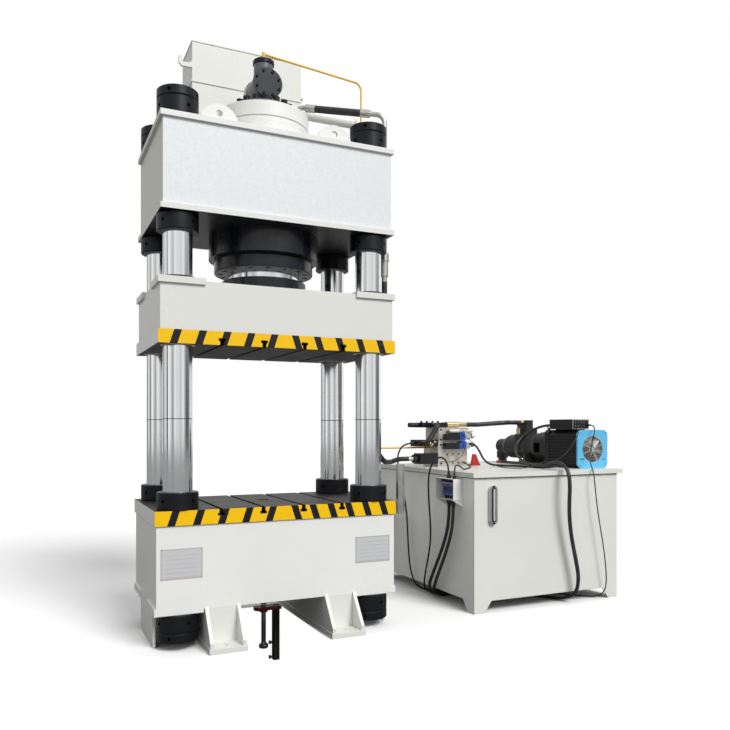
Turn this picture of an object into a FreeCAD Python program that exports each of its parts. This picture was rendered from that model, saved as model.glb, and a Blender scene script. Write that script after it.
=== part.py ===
import FreeCAD, Part
import math
import os

# A four-column hydraulic press with its separate power unit. Millimetres, +Z up.
# The origin is on the press axis at floor level; the front of the press faces -Y.
V = FreeCAD.Vector

# Columns and their nuts
column_radius = 100.0
column_half_x = 722.0           # column centres, left and right
column_half_y = 364.0           # column centres, front and rear
column_hole_clearance = 1.5     # round a column in the crown, the bed and its table
column_end_chamfer = 6.0
nut_wall = 41.0                 # round nuts past the columns
outer_nut_height = 124.0
lock_nut_height = 66.0
inner_nut_height = 120.0
nut_chamfer = 6.0
tommy_hole_radius = 12.0
tommy_hole_depth = 24.0

# Levels, counted up from the floor
foot_plate_thickness = 36.0
foot_height = 234.0             # from the foot plates to the bed
bed_body_height = 577.0
bed_table_thickness = 101.0
daylight = 1121.0               # open height between the two tables
slide_table_thickness = 94.0
slide_body_height = 337.0
ram_flange_height = 112.0
gland_gap = 62.0
gland_height = 86.0
gland_neck_height = 18.0
barrel_shoulder_height = 184.0
crown_height = 653.0
barrel_top_height = 124.0       # barrel standing above the crown
head_height = 150.0

# Bed
bed_wall_x = 61.5               # metal outside the column holes of the bed
bed_wall_y = 14.5
table_overhang = 10.5           # table past the bed, all round
pad_overhang = 13.0             # corner pads past the bed's faces
bed_pad_thickness = 51.0
bed_pad_drop = 23.0             # pads below the underside of the bed
bed_pad_width = 330.0
bed_bore_gap = 8.0              # bed's bore round the ejector's flange
side_foot_front = 330.0
side_foot_rear = 205.0
side_foot_gap = 2.0             # between the side feet and the nuts under the bed
foot_nut_gap = 19.0             # between a foot and the nuts beside it
foot_width = 248.0
foot_wall = 25.0
foot_stand = 170.0              # foot plates past the bed, front and rear
foot_plate_margin = 6.0
gusset_rise = 18.0              # gussets up the bed's faces
anchor_hole_radius = 17.0

# T-slots in both tables
slot_pitch = 300.0
slot_count = 4
slot_neck = 28.0
slot_head = 48.0
slot_head_height = 20.0
slot_depth = 47.0

# Slide (moving beam)
slide_wall_x = 38.0             # metal outside the bushes of the slide's table
slide_wall_y = 30.0
slide_body_inset = 16.0         # slide's body inside its table, all round
slide_rise = 40.0               # travel above the place at rest
slide_pad_thickness = 45.0
slide_pad_rise = 18.0
slide_pad_width = 316.0
guide_clearance = 0.08
bush_wall = 18.0
wiper_height = 16.0
wiper_wall = 26.0

# Crown
crown_wall_x = 40.5             # metal outside the column holes of the crown
crown_wall_y = 56.5
crown_recess = 18.0
crown_flange_thickness = 38.0
lug_radius = 136.0
lug_hole_radius = 22.5
lug_thickness = 30.0
lug_left_x = -445.0
lug_right_x = 423.0
lug_inset = 122.0               # behind the crown's front edge
lug_rise = 10.0                 # centre of the round top above the crown
lug_hole_rise = 79.0

# Main cylinder and ram
bore_radius = 300.0
barrel_wall = 75.0
shoulder_width = 41.0           # barrel's shoulder past its wall
neck_wall = 45.0                # barrel's neck, and the head on it
barrel_fit = 1.0
ring_flange_width = 50.0
ring_flange_height = 55.0
head_groove_depth = 7.0
head_groove_height = 34.0
bolt_radius = 13.5
bolt_head_radius = 20.0
bolt_head_height = 27.0
bolt_edge = 2.0                 # metal between a sunk bolt head and the chamfer
bolt_grip = 40.0                # length of a bolt in the part that it holds to
ring_bolt_count = 16
head_bolt_count = 12
gland_wall = 76.0
gland_neck_step = 24.0
gland_spigot_height = 22.0
spigot_clearance = 0.5
ram_land = 26.0                 # ram smaller than the bore, on the radius
running_clearance = 0.08
piston_height = 118.0
piston_groove_width = 14.0
piston_groove_depth = 9.0
ram_top_gap = 9.6               # piston under the open poppet with the slide right up
ram_flange_width = 48.0
ram_bolt_count = 16

# Prefill valve on the cylinder head
valve_seat_radius = 84.0
valve_chamber_radius = 104.0
valve_seat_height = 24.0
seat_width = 12.0
poppet_height = 26.0
poppet_gap = 0.4
poppet_travel = 35.0
prefill_flange_radius = 235.0
prefill_flange_height = 58.0
prefill_bolt_radius = 16.5
prefill_bolt_head_radius = 25.0
prefill_bolt_head_height = 40.0
prefill_bolt_edge = 10.0
prefill_bolt_count = 16
stem_radius = 14.0
tower_radius = 75.0
tower_height = 411.0
tower_bore_radius = 58.0
cross_radius = 103.0
cross_height = 234.0            # cross body's axis above the head
cross_front = 104.0
cross_rear = 133.0
cross_bore_radius = 80.0
cover_step = 11.0               # cover past the cross body
cover_thickness = 13.0
cap_step = 7.0                  # cap past the tower
cap_thickness = 34.0

# Filling tank behind the valve
filling_tank_half_x = 460.0
filling_tank_front = 429.0
filling_tank_depth = 392.0
filling_tank_top = 988.0        # above the crown
filling_tank_lift = 60.0
filling_tank_band = 667.0       # stiffening band above the crown
suction_radius = 84.0
suction_flange_radius = 116.0
suction_flange_thickness = 22.0
hook_drop = 218.0               # foot of the lifting hook below the tank's top
hook_reach = 105.0
hook_height = 82.0
hook_width = 34.0
hook_thickness = 20.0

# Ejector in the bed
ejector_radius = 112.0
ejector_flange_radius = 152.0
ejector_flange_height = 32.0
ejector_length = 497.0
ejector_bore_radius = 80.0
ejector_end_wall = 60.0
ejector_rod_radius = 40.0
ejector_hole_clearance = 2.0
ejector_top_gap = 6.0           # ejector below the table's top face
tail_radius = 18.0
tail_foot_radius = 36.0
tail_foot_height = 42.0
tail_bottom = -195.0
ejector_piston_height = 60.0
ejector_plate_bottom = 100.0
ejector_plate_thickness = 26.0
ejector_plate_left = 75.0
ejector_plate_edge = 10.0       # plate past the dog bar
ejector_plate_half_y = 42.0
dog_bar_x = 98.0
dog_bar_width = 48.0
dog_bar_bottom = -296.0
dog_levels = (-160.0, -273.0)
dog_radius = 9.0
dog_length = 30.0

# Guard rail beside the table
rail_gap = 26.5                 # beside the table
rail_inset = 10.5               # behind the table's front edge
rail_width = 56.0
rail_depth = 34.0
rail_drop = 104.0               # foot of the rail below the table's face
rail_length = 383.0
rail_foot = 60.0

# Pipes of the press
pilot_radius = 8.0
pilot_gap = 4.0                 # beside the slide and the crown
pilot_y = 134.0
pilot_rise = 57.0
pilot_step = 200.0
pilot_bend = 60.0
pipe_end_gap = 0.5              # between a separate pipe and its elbow
overflow_radius = 44.5
overflow_gap = 10.0             # beside the table
overflow_y = 242.0
overflow_start_x = 250.0
overflow_above_crown = 482.0
overflow_bend = 95.0
overflow_turn_z = 640.0
overflow_tank_y = 960.0
pressure_radius = 20.0
crown_hose_radius = 28.0
ferrule_radius = 31.0
ferrule_length = 78.0
pressure_gap = 3.0              # beside the slide and the crown
pressure_y = -263.0
port_inset = 28.8               # inside the head's edge
port_angle = 18.43              # degrees, from the right towards the rear
port_rise = 186.0               # crest of the pipe above the head
pressure_crest = 366.0          # right-hand crest above the crown
hose_start_share = 0.11         # steel elbows at both ends, as shares of the way
hose_end_share = 0.84
pressure_fitting_drop = 80.0    # fitting below the crown's underside
pressure_collar = 60.0
pressure_fitting = 120.0
press_hose_drop = 260.0         # straight below its fitting
press_hose_y = 100.0            # where it hangs beside the table
press_hose_low = 1430.0
press_hose_bend = 150.0

# Power unit: tank
unit_left = 1604.0
unit_right = 3108.0
unit_front = -493.0
unit_rear = 1207.0
unit_bottom = 95.0
unit_body_top = 1100.0
unit_foot_taper = 68.0
unit_foot_width = 100.0
lid_thickness = 40.0
lid_overhang = 20.0
lid_overhang_right = 52.0
breather_inset_x = 78.0
breather_inset_y = 90.0
breather_radius = 62.0
breather_height = 70.0
breather_neck_radius = 46.0
breather_neck_height = 40.0
gauge_x = 1776.0
gauge_width = 73.0
gauge_bottom = 718.0
gauge_length = 318.0
gauge_depth = 26.0
gauge_window_inset = 20.0

# Power unit: motor and pump, on one axis along Y
motor_x = 2953.0
motor_width = 344.0
motor_front = -342.0
motor_rear = 40.0
motor_corner = 48.0
motor_fin_count = 9
motor_fin_depth = 8.0
motor_fin_gap = 12.0
motor_flange_thickness = 58.0
motor_eye_radius = 15.0
motor_eye_wire = 6.0
motor_eye_inset = 30.0
motor_eye_rise = 26.0           # eye's centre over the motor
fan_cover_thickness = 18.0
fan_pocket = 36.0               # sunk in the motor's end behind the cover
fan_opening_radius = 116.0
grille_ring_count = 8
grille_wire = 3.0
grille_spoke_count = 4
fan_hub_radius = 34.0
fan_blade_count = 7
fan_blade_thickness = 4.0
fan_clearance = 6.0
shaft_radius = 30.0
terminal_box_front = -290.0
terminal_box_length = 314.0
terminal_box_width = 190.0
terminal_box_height = 88.0
terminal_box_gap = 6.0
terminal_gland_inset = 15.0
terminal_gland_reach = 14.0
terminal_lid_thickness = 8.0
fan_gland_radius = 9.0
power_gland_radius = 24.0
bell_radius = 150.0
bell_length = 300.0
bell_wall = 16.0
bell_end_wall = 24.0
bell_neck = 40.0
bell_window = 90.0
coupling_radius = 68.0
coupling_length = 150.0
coupling_gap = 4.0
pump_shaft_depth = 60.0         # pump's shaft inside the pump
pump_flange_radius = 132.0
pump_flange_thickness = 30.0
pump_radius = 120.0
pump_length = 480.0
pump_end_radius = 74.0
pump_end_length = 160.0
pump_block_start = 110.0        # behind the pump's flange face
pump_block_length = 170.0
pump_block_width = 130.0
pump_block_height = 70.0
pump_stack_length = 100.0
pump_stack_height = 78.0
pump_control_length = 70.0
pump_control_width = 60.0
pump_control_height = 128.0     # its top over the axis
rail_thickness = 24.0
gusset_size = 110.0

# Power unit: valve stack
manifold_x = 1827.0
manifold_y = 450.0
manifold_width = 320.0
manifold_depth = 273.0
manifold_height = 235.0
manifold_port_radius = 11.0
cartridge_height = 131.0
cartridge_inset = 14.0
cartridge_nose_radius = 52.0
cartridge_nose_length = 74.0
cartridge_nose_front = 40.0      # nose forward of the block's middle
cartridge_cap_length = 40.0
top_block_height = 47.0
hose_radius = 22.0
thin_hose_radius = 17.6
hose_wall = 5.0                 # ferrules past the hoses
unit_ferrule_length = 140.0
drop_hose_radius = 23.0
drop_hose_reach = 52.0          # in front of the manifold
distributor_left = 142.0        # past the manifold's left face
distributor_right = 135.0       # over the cartridge block
distributor_front = 50.0
distributor_depth = 140.0
distributor_tip_radius = 22.0
distributor_tip_length = 105.0
distributor_stud_pitch = 60.0
upper_valve_length = 212.0
upper_valve_front = 10.0
upper_valve_depth = 140.0
upper_valve_height = 62.0
upper_valve_drop = 45.0         # below the manifold's top
lower_valve_length = 190.0
lower_valve_front = 6.0
lower_valve_depth = 124.0
lower_valve_height = 100.0
lower_valve_rise = 26.0
lower_cap_radius = 38.0
lower_cap_length = 42.0
pilot_valve_left = 50.0
pilot_valve_length = 146.0
pilot_valve_height = 58.0
pilot_valve_drop = 70.0
solenoid_width = 112.0
solenoid_height = 56.0
solenoid_depth = 62.0

# Junction box on the tank's left side
box_depth = 97.0
box_front = -332.0
box_length = 279.0
box_bottom = 906.0
box_height = 175.0
box_wall = 4.0
box_bracket_drop = 60.0
box_gland_inset = 60.0          # first glands from the box's front
top_gland_height = 24.0
loop_gland_offset = 90.0
loop_gland_radius = 18.0
spare_gland_radius = 15.0
sleeve_gland_height = 26.0
sleeve_gland_offset = 12.0
sleeve_gland_pitch = 65.0
sleeve_gland_radius = 22.0
box_rail_depth = 30.0
box_rail_height = 36.0

# Cables
rear_cable_radius = 8.0
loop_cable_radius = 8.0
sleeve_cable_radius = 14.0
motor_cable_radius = 12.0
fan_cable_radius = 5.0
trunk_radius = 16.0
cable_floor_gap = 1.0
coil_turns_across = 2
coil_layers = 2
coil_mid_radius = 160.0
coil_x = 2560.0
coil_y = 760.0
coil_entry_angle = 75.0         # where the trunk meets the coil
plug_inset = 20.0
plug_length = 120.0
plug_width = 62.0
plug_height = 60.0
plug_lip = 14.0
plug_entry_radius = 22.0
plug_entry_length = 30.0
boot_x = 2070.0
boot_front = 650.0
boot_length = 120.0
boot_width = 220.0
boot_height = 60.0

# Sizes that follow from the driving ones
column_hole_radius = column_radius + column_hole_clearance
nut_radius = column_radius + nut_wall
bush_radius = column_radius + guide_clearance + bush_wall
bed_body_half_x = column_half_x + column_hole_radius + bed_wall_x
bed_body_half_y = column_half_y + column_hole_radius + bed_wall_y
bed_table_half_x = bed_body_half_x + table_overhang
bed_table_half_y = bed_body_half_y + table_overhang
bed_bore_radius = ejector_flange_radius + bed_bore_gap
side_foot_thickness = bed_body_half_x - column_half_x - nut_radius - side_foot_gap
foot_centre_x = column_half_x - nut_radius - foot_nut_gap - foot_width / 2
foot_reach = bed_body_half_y + foot_stand
slide_table_half_x = column_half_x + bush_radius + slide_wall_x
slide_table_half_y = column_half_y + bush_radius + slide_wall_y
slide_body_half_x = slide_table_half_x - slide_body_inset
slide_body_half_y = slide_table_half_y - slide_body_inset
crown_flange_half_x = column_half_x + column_hole_radius + crown_wall_x
crown_flange_half_y = column_half_y + column_hole_radius + crown_wall_y
lug_y = lug_inset - crown_flange_half_y
barrel_radius = bore_radius + barrel_wall
barrel_shoulder_radius = barrel_radius + shoulder_width
head_radius = bore_radius + neck_wall
ring_flange_radius = barrel_radius + ring_flange_width
ring_bolt_circle = ring_flange_radius - nut_chamfer / 2 - bolt_edge - bolt_head_radius
head_bolt_circle = head_radius - nut_chamfer / 2 - bolt_edge - bolt_head_radius
gland_radius = bore_radius + gland_wall
gland_neck_radius = gland_radius - gland_neck_step
ram_radius = bore_radius - ram_land
ram_flange_radius = ram_radius + ram_flange_width
poppet_radius = valve_seat_radius + seat_width
prefill_bolt_circle = prefill_flange_radius - prefill_bolt_edge - prefill_bolt_head_radius
cover_radius = cross_radius + cover_step
cap_radius = tower_radius + cap_step
ejector_plate_right = dog_bar_x + dog_bar_width / 2 + ejector_plate_edge
upper_half_x = max(slide_table_half_x, crown_flange_half_x)
press_half_x = max(bed_table_half_x, upper_half_x)
rail_x = bed_table_half_x + rail_gap + rail_width / 2
rail_y = rail_inset - bed_table_half_y
pilot_x = upper_half_x + pilot_gap + pilot_radius
pressure_x = upper_half_x + pressure_gap + ferrule_radius
overflow_x = press_half_x + overflow_gap + overflow_radius
port_x = (head_radius - port_inset) * math.cos(math.radians(port_angle))
port_y = (head_radius - port_inset) * math.sin(math.radians(port_angle))

# Levels worked out from the driving sizes
bed_bottom = foot_plate_thickness + foot_height
bed_body_top = bed_bottom + bed_body_height
table_top = bed_body_top + bed_table_thickness
slide_bottom = table_top + daylight
slide_body_bottom = slide_bottom + slide_table_thickness
slide_top = slide_body_bottom + slide_body_height
gland_bottom = slide_top + ram_flange_height + gland_gap
barrel_bottom = gland_bottom + gland_height + gland_neck_height
crown_bottom = barrel_bottom + barrel_shoulder_height
crown_top = crown_bottom + crown_height
head_bottom = crown_top + barrel_top_height
head_top = head_bottom + head_height
ram_top = head_bottom - poppet_gap - poppet_height - poppet_travel - ram_top_gap - slide_rise
ring_top = crown_top + ring_flange_height
rail_bottom = table_top - rail_drop
cross_z = head_top + cross_height
tower_top = head_top + tower_height
pad_bottom = bed_bottom - bed_pad_drop
lid_top = unit_body_top + lid_thickness
motor_z = lid_top + motor_width / 2
column_bottom = pad_bottom - outer_nut_height - lock_nut_height
column_top = crown_top + outer_nut_height + lock_nut_height
column_centres = [(x, y) for y in (-column_half_y, column_half_y)
                  for x in (-column_half_x, column_half_x)]


def block(x0, x1, y0, y1, z0, z1):
    return Part.makeBox(x1 - x0, y1 - y0, z1 - z0, V(x0, y0, z0))


def bar(radius, start, end):
    start = V(*start)
    axis = V(*end) - start
    return Part.makeCylinder(radius, axis.Length, start, axis)


def upright(radius, x, y, z0, z1):
    return bar(radius, (x, y, z0), (x, y, z1))


def turned(profile, x=0.0, y=0.0):
    """A solid turned about a vertical axis from its half section of (radius, height) points."""
    points = [V(x + r, y, z) for r, z in profile]
    face = Part.Face(Part.makePolygon(points + points[:1]))
    return face.revolve(V(x, y, 0), V(0, 0, 1), 360)


def turned_y(profile, x, z):
    """A solid turned about an axis along Y from its half section of (radius, y) points."""
    points = [V(x + r, y, z) for r, y in profile]
    face = Part.Face(Part.makePolygon(points + points[:1]))
    return face.revolve(V(x, 0, z), V(0, 1, 0), 360)


def drawn(points, depth):
    """A flat outline carried along a straight depth."""
    points = [V(*p) for p in points]
    return Part.Face(Part.makePolygon(points + points[:1])).extrude(V(*depth))


def joined(shapes):
    return shapes[0].multiFuse(shapes[1:]).removeSplitter() if len(shapes) > 1 else shapes[0]


def group(shapes):
    return Part.makeCompound(shapes)


def ring_of(count, radius, first_turn=0.5):
    """Centres spread evenly on a circle round the press axis."""
    turns = [2 * math.pi * (i + first_turn) / count for i in range(count)]
    return [(radius * math.cos(a), radius * math.sin(a)) for a in turns]


def path(points, bend=None):
    """Straight runs joined by tangent arcs, and the arcs' radii. With no bend given each
    arc is as large as the shorter of its two runs allows."""
    points = [V(*p) for p in points]
    edges = []
    radii = []
    start = points[0]
    for before, corner, after in zip(points, points[1:], points[2:]):
        back = (before - corner).normalize()
        ahead = (after - corner).normalize()
        half_turn = (math.pi - back.getAngle(ahead)) / 2
        if half_turn < 0.002:
            continue
        shorter = min((before - corner).Length, (after - corner).Length)
        radius = bend or 0.45 * shorter / math.tan(half_turn)
        trim = radius * math.tan(half_turn)
        towards = (back + ahead).normalize()
        middle = corner + towards * (radius / math.cos(half_turn) - radius)
        first = corner + back * trim
        last = corner + ahead * trim
        edges.append(Part.LineSegment(start, first).toShape())
        edges.append(Part.Arc(first, middle, last).toShape())
        radii.append(radius)
        start = last
    edges.append(Part.LineSegment(start, points[-1]).toShape())
    return Part.Wire(edges), radii


def tube(points, radius, bend=None, name=None):
    """A round solid along a route; a named cord prints its bends and its volume's fit."""
    wire, radii = path(points, bend)
    start = V(*points[0])
    section = Part.Wire(Part.makeCircle(radius, start, V(*points[1]) - start))
    solid = wire.makePipeShell([section], True, True)
    if name:
        share = solid.Volume / (math.pi * radius ** 2 * wire.Length)
        print(name, "length", round(wire.Length), "volume share", round(share, 4),
              "tightest bend in diameters", round(min(radii) / (2 * radius), 1))
    return solid


def socket_bolt(x, y, seat, length, radius, head_radius, head_height):
    """A cap screw standing head up on a seat, with its hexagon socket."""
    top = seat + head_height
    head = upright(head_radius, x, y, seat, top)
    shank = upright(radius, x, y, seat - length, seat)
    across = head_radius * 0.55
    corners = [(x + across * math.cos(math.pi * i / 3), y + across * math.sin(math.pi * i / 3),
                top - head_height / 2) for i in range(6)]
    return joined([head, shank]).cut(drawn(corners, (0, 0, head_height)))


def sunk_bolts(circle, count, first_turn, top, bottom):
    """Cap screws with their heads sunk flush, from the top face down to their ends."""
    seat = top - bolt_head_height
    return [socket_bolt(x, y, seat, seat - bottom, bolt_radius, bolt_head_radius, bolt_head_height)
            for x, y in ring_of(count, circle, first_turn)]


def bolt_sinks(circle, count, first_turn, top, bottom):
    """Cutters for sunk cap screws: a hole down to the bottom and a wider one for the head."""
    cutters = []
    for x, y in ring_of(count, circle, first_turn):
        cutters.append(upright(bolt_radius, x, y, bottom, top + 1))
        cutters.append(upright(bolt_head_radius, x, y, top - bolt_head_height, top + 1))
    return cutters


def t_slots(half_y, face_z, into):
    """Cutters for the T-slots of one table; into is +1 for slots that open downwards."""
    cutters = []
    for i in range(slot_count):
        x = (i - (slot_count - 1) / 2) * slot_pitch
        deep = face_z + into * slot_depth
        head = face_z + into * (slot_depth - slot_head_height)
        neck_z = sorted((face_z - into, deep))
        head_z = sorted((head, deep))
        cutters.append(block(x - slot_neck / 2, x + slot_neck / 2, -half_y - 1, half_y + 1, *neck_z))
        cutters.append(block(x - slot_head / 2, x + slot_head / 2, -half_y - 1, half_y + 1, *head_z))
    return cutters


def column_holes(radius, z0, z1):
    return [upright(radius, x, y, z0 - 1, z1 + 1) for x, y in column_centres]


def corner_pads(half_x, half_y, width, z0, z1):
    """Square plates at the four corners, where the columns pass."""
    pads = []
    for sx in (-1, 1):
        for sy in (-1, 1):
            x0, x1 = sorted((sx * (half_x - width), sx * half_x))
            y0, y1 = sorted((sy * (half_y - width), sy * half_y))
            pads.append(block(x0, x1, y0, y1, z0, z1))
    return pads


# ---- Frame of the press ----

def bed_frame():
    """The welded bed: body, corner pads under the columns and a foot plate on each side."""
    body = block(-bed_body_half_x, bed_body_half_x, -bed_body_half_y, bed_body_half_y,
                 bed_bottom, bed_body_top)
    pads = corner_pads(bed_body_half_x + pad_overhang, bed_body_half_y, bed_pad_width,
                       pad_bottom, pad_bottom + bed_pad_thickness)
    side_feet = []
    for side in (-1, 1):
        x0, x1 = sorted((side * (bed_body_half_x - side_foot_thickness), side * bed_body_half_x))
        side_feet.append(block(x0, x1, -side_foot_front, side_foot_rear, 0, bed_bottom))
    bed = joined([body] + pads + side_feet)
    cutters = column_holes(column_hole_radius, 0, bed_body_top)
    cutters.append(upright(bed_bore_radius, 0, 0, bed_bottom - 1, bed_body_top + 1))
    return bed.cut(cutters)


def bed_table():
    table = block(-bed_table_half_x, bed_table_half_x, -bed_table_half_y, bed_table_half_y,
                  bed_body_top, table_top)
    cutters = column_holes(column_hole_radius, bed_body_top, table_top)
    cutters += t_slots(bed_table_half_y, table_top, -1)
    cutters.append(upright(ejector_rod_radius + ejector_hole_clearance, 0, 0,
                           bed_body_top - 1, table_top + 1))
    return table.cut(cutters)


def foot(side):
    """A bracket foot: base plate, two gusseted side walls and an end wall under each bed face."""
    x0, x1 = sorted((side * (foot_centre_x - foot_width / 2), side * (foot_centre_x + foot_width / 2)))
    plate = block(x0 - foot_plate_margin, x1 + foot_plate_margin, -foot_reach, foot_reach,
                  0, foot_plate_thickness)
    wall_end = foot_reach - foot_plate_margin
    top = bed_bottom + gusset_rise
    walls = []
    for x in (x0, x1 - foot_wall):
        outline = [(x, -wall_end, foot_plate_thickness), (x, wall_end, foot_plate_thickness),
                   (x, wall_end, 2 * foot_plate_thickness), (x, bed_body_half_y, top),
                   (x, bed_body_half_y, bed_bottom), (x, -bed_body_half_y, bed_bottom),
                   (x, -bed_body_half_y, top), (x, -wall_end, 2 * foot_plate_thickness)]
        walls.append(drawn(outline, (foot_wall, 0, 0)))
    for y in (-bed_body_half_y, bed_body_half_y - foot_wall):
        walls.append(block(x0, x1, y, y + foot_wall, foot_plate_thickness, bed_bottom))
    hole_y = (foot_reach + bed_body_half_y) / 2
    holes = [upright(anchor_hole_radius, side * foot_centre_x, y, -1, foot_plate_thickness + 1)
             for y in (-hole_y, hole_y)]
    return joined([plate] + walls).cut(holes)


def column(x, y):
    c = column_end_chamfer
    r = column_radius
    return turned([(0, column_bottom), (r - c, column_bottom), (r, column_bottom + c),
                   (r, column_top - c), (r - c, column_top), (0, column_top)], x, y)


def nut(x, y, z0, height, hole_turn):
    """A round nut with four tommy-bar holes in its side."""
    c = nut_chamfer
    r = nut_radius
    z1 = z0 + height
    body = turned([(column_radius, z0), (r - c, z0), (r, z0 + c), (r, z1 - c),
                   (r - c, z1), (column_radius, z1)], x, y)
    holes = []
    for i in range(4):
        a = math.radians(hole_turn + 90 * i)
        ux, uy = math.cos(a), math.sin(a)
        zc = (z0 + z1) / 2
        holes.append(bar(tommy_hole_radius,
                         (x + ux * (r - tommy_hole_depth), y + uy * (r - tommy_hole_depth), zc),
                         (x + ux * (r + 1), y + uy * (r + 1), zc)))
    return body.cut(holes)


def nuts(levels, height, hole_turn):
    return group([nut(x, y, z, height, hole_turn) for z in levels for x, y in column_centres])


def lifting_lug(x):
    """A round-topped plate welded upright on the crown, with its shackle hole."""
    y0 = lug_y - lug_thickness / 2
    y1 = lug_y + lug_thickness / 2
    centre_z = crown_top + lug_rise
    disc = bar(lug_radius, (x, y0, centre_z), (x, y1, centre_z))
    base = block(x - lug_radius, x + lug_radius, y0, y1, crown_top, centre_z)
    below = block(x - 2 * lug_radius, x + 2 * lug_radius, y0 - 1, y1 + 1,
                  centre_z - 2 * lug_radius, crown_top)
    hole_z = crown_top + lug_hole_rise
    hole = bar(lug_hole_radius, (x, y0 - 1, hole_z), (x, y1 + 1, hole_z))
    return joined([disc, base]).cut([below, hole])


def crown_frame():
    """The welded crown: body between two flange plates, with its lifting lugs."""
    fx, fy, t = crown_flange_half_x, crown_flange_half_y, crown_flange_thickness
    body = block(-fx + crown_recess, fx - crown_recess, -fy + crown_recess, fy - crown_recess,
                 crown_bottom + t, crown_top - t)
    flanges = [block(-fx, fx, -fy, fy, z, z + t) for z in (crown_bottom, crown_top - t)]
    crown = joined([body] + flanges + [lifting_lug(lug_left_x), lifting_lug(lug_right_x)])
    cutters = column_holes(column_hole_radius, crown_bottom, crown_top)
    cutters.append(upright(barrel_radius + barrel_fit, 0, 0, crown_bottom - 1, crown_top + 1))
    cutters += [upright(bolt_radius, x, y, crown_top - bolt_grip, crown_top + 1)
                for x, y in ring_of(ring_bolt_count, ring_bolt_circle)]
    return crown.cut(cutters)


# ---- Main cylinder, with its prefill valve ----

def cylinder_barrel():
    """Shouldered under the crown and closed by the head; a ring flange holds it on top."""
    barrel = turned([(bore_radius, barrel_bottom), (barrel_shoulder_radius, barrel_bottom),
                     (barrel_shoulder_radius, crown_bottom), (barrel_radius, crown_bottom),
                     (barrel_radius, crown_top), (head_radius, crown_top),
                     (head_radius, head_bottom), (bore_radius, head_bottom)])
    return barrel.cut([upright(bolt_radius, x, y, head_bottom - bolt_grip, head_bottom + 1)
                       for x, y in ring_of(head_bolt_count, head_bolt_circle, 0)])


def ring_flange():
    ring = turned([(head_radius, crown_top), (ring_flange_radius, crown_top),
                   (ring_flange_radius, ring_top - nut_chamfer / 2),
                   (ring_flange_radius - nut_chamfer / 2, ring_top), (head_radius, ring_top)])
    return ring.cut(bolt_sinks(ring_bolt_circle, ring_bolt_count, 0.5, ring_top, crown_top - 1))


def cylinder_head():
    """The head: a grooved disc with the valve seat and its chamber through the middle."""
    z = head_bottom
    g = head_groove_height
    head = turned([(valve_seat_radius, z), (head_radius, z),
                   (head_radius, z + g), (head_radius - head_groove_depth, z + g),
                   (head_radius - head_groove_depth, z + g * 1.3), (head_radius, z + g * 1.3),
                   (head_radius, head_top - nut_chamfer / 2), (head_radius - nut_chamfer / 2, head_top),
                   (valve_chamber_radius, head_top), (valve_chamber_radius, z + valve_seat_height),
                   (valve_seat_radius, z + valve_seat_height)])
    holes = bolt_sinks(head_bolt_circle, head_bolt_count, 0, head_top, z - 1)
    holes += [upright(prefill_bolt_radius, x, y, head_top - bolt_grip, head_top + 1)
              for x, y in ring_of(prefill_bolt_count, prefill_bolt_circle)]
    return head.cut(holes)


def cylinder_bolts():
    """The sunk screws of the ring flange and the head, and the standing ones of the valve's foot."""
    bolts = sunk_bolts(ring_bolt_circle, ring_bolt_count, 0.5, ring_top, crown_top - bolt_grip)
    bolts += sunk_bolts(head_bolt_circle, head_bolt_count, 0, head_top, head_bottom - bolt_grip)
    bolts += [socket_bolt(x, y, head_top + prefill_flange_height, prefill_flange_height + bolt_grip,
                          prefill_bolt_radius, prefill_bolt_head_radius, prefill_bolt_head_height)
              for x, y in ring_of(prefill_bolt_count, prefill_bolt_circle)]
    return group(bolts)


def gland_ring():
    """The packing gland under the barrel, with a spigot into its bore and sunk bolt holes."""
    inner = ram_radius + running_clearance
    top = barrel_bottom - gland_neck_height
    ring = turned([(inner, gland_bottom), (gland_radius - nut_chamfer, gland_bottom),
                   (gland_radius, gland_bottom + nut_chamfer), (gland_radius, top),
                   (gland_neck_radius, top), (gland_neck_radius, barrel_bottom),
                   (bore_radius - spigot_clearance, barrel_bottom),
                   (bore_radius - spigot_clearance, barrel_bottom + gland_spigot_height),
                   (inner, barrel_bottom + gland_spigot_height)])
    circle = (bore_radius + gland_neck_radius) / 2
    sinks = [upright(bolt_head_radius, x, y, gland_bottom - 1, gland_bottom + bolt_head_height)
             for x, y in ring_of(ring_bolt_count, circle)]
    return ring.cut(sinks)


def ram():
    """The chromed ram with its piston, which carries three seal grooves."""
    top = ram_top
    bottom = top - piston_height
    outer = bore_radius - running_clearance
    profile = [(0, slide_top), (ram_radius, slide_top), (ram_radius, bottom), (outer, bottom)]
    pitch = piston_height / 4
    for i in range(1, 4):
        z = bottom + i * pitch
        profile += [(outer, z - piston_groove_width / 2),
                    (outer - piston_groove_depth, z - piston_groove_width / 2),
                    (outer - piston_groove_depth, z + piston_groove_width / 2),
                    (outer, z + piston_groove_width / 2)]
    return turned(profile + [(outer, top), (0, top)])


def ram_flange():
    top = slide_top + ram_flange_height
    ring = turned([(ram_radius, slide_top), (ram_flange_radius, slide_top),
                   (ram_flange_radius, top - nut_chamfer), (ram_flange_radius - nut_chamfer, top),
                   (ram_radius, top)])
    circle = (ram_radius + ram_flange_radius) / 2
    sinks = [upright(ram_bolt_radius(), x, y, top - bolt_head_height, top + 1)
             for x, y in ring_of(ram_bolt_count, circle)]
    return ring.cut(sinks)


def ram_bolt_radius():
    return (ram_flange_radius - ram_radius) * 0.34


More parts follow.
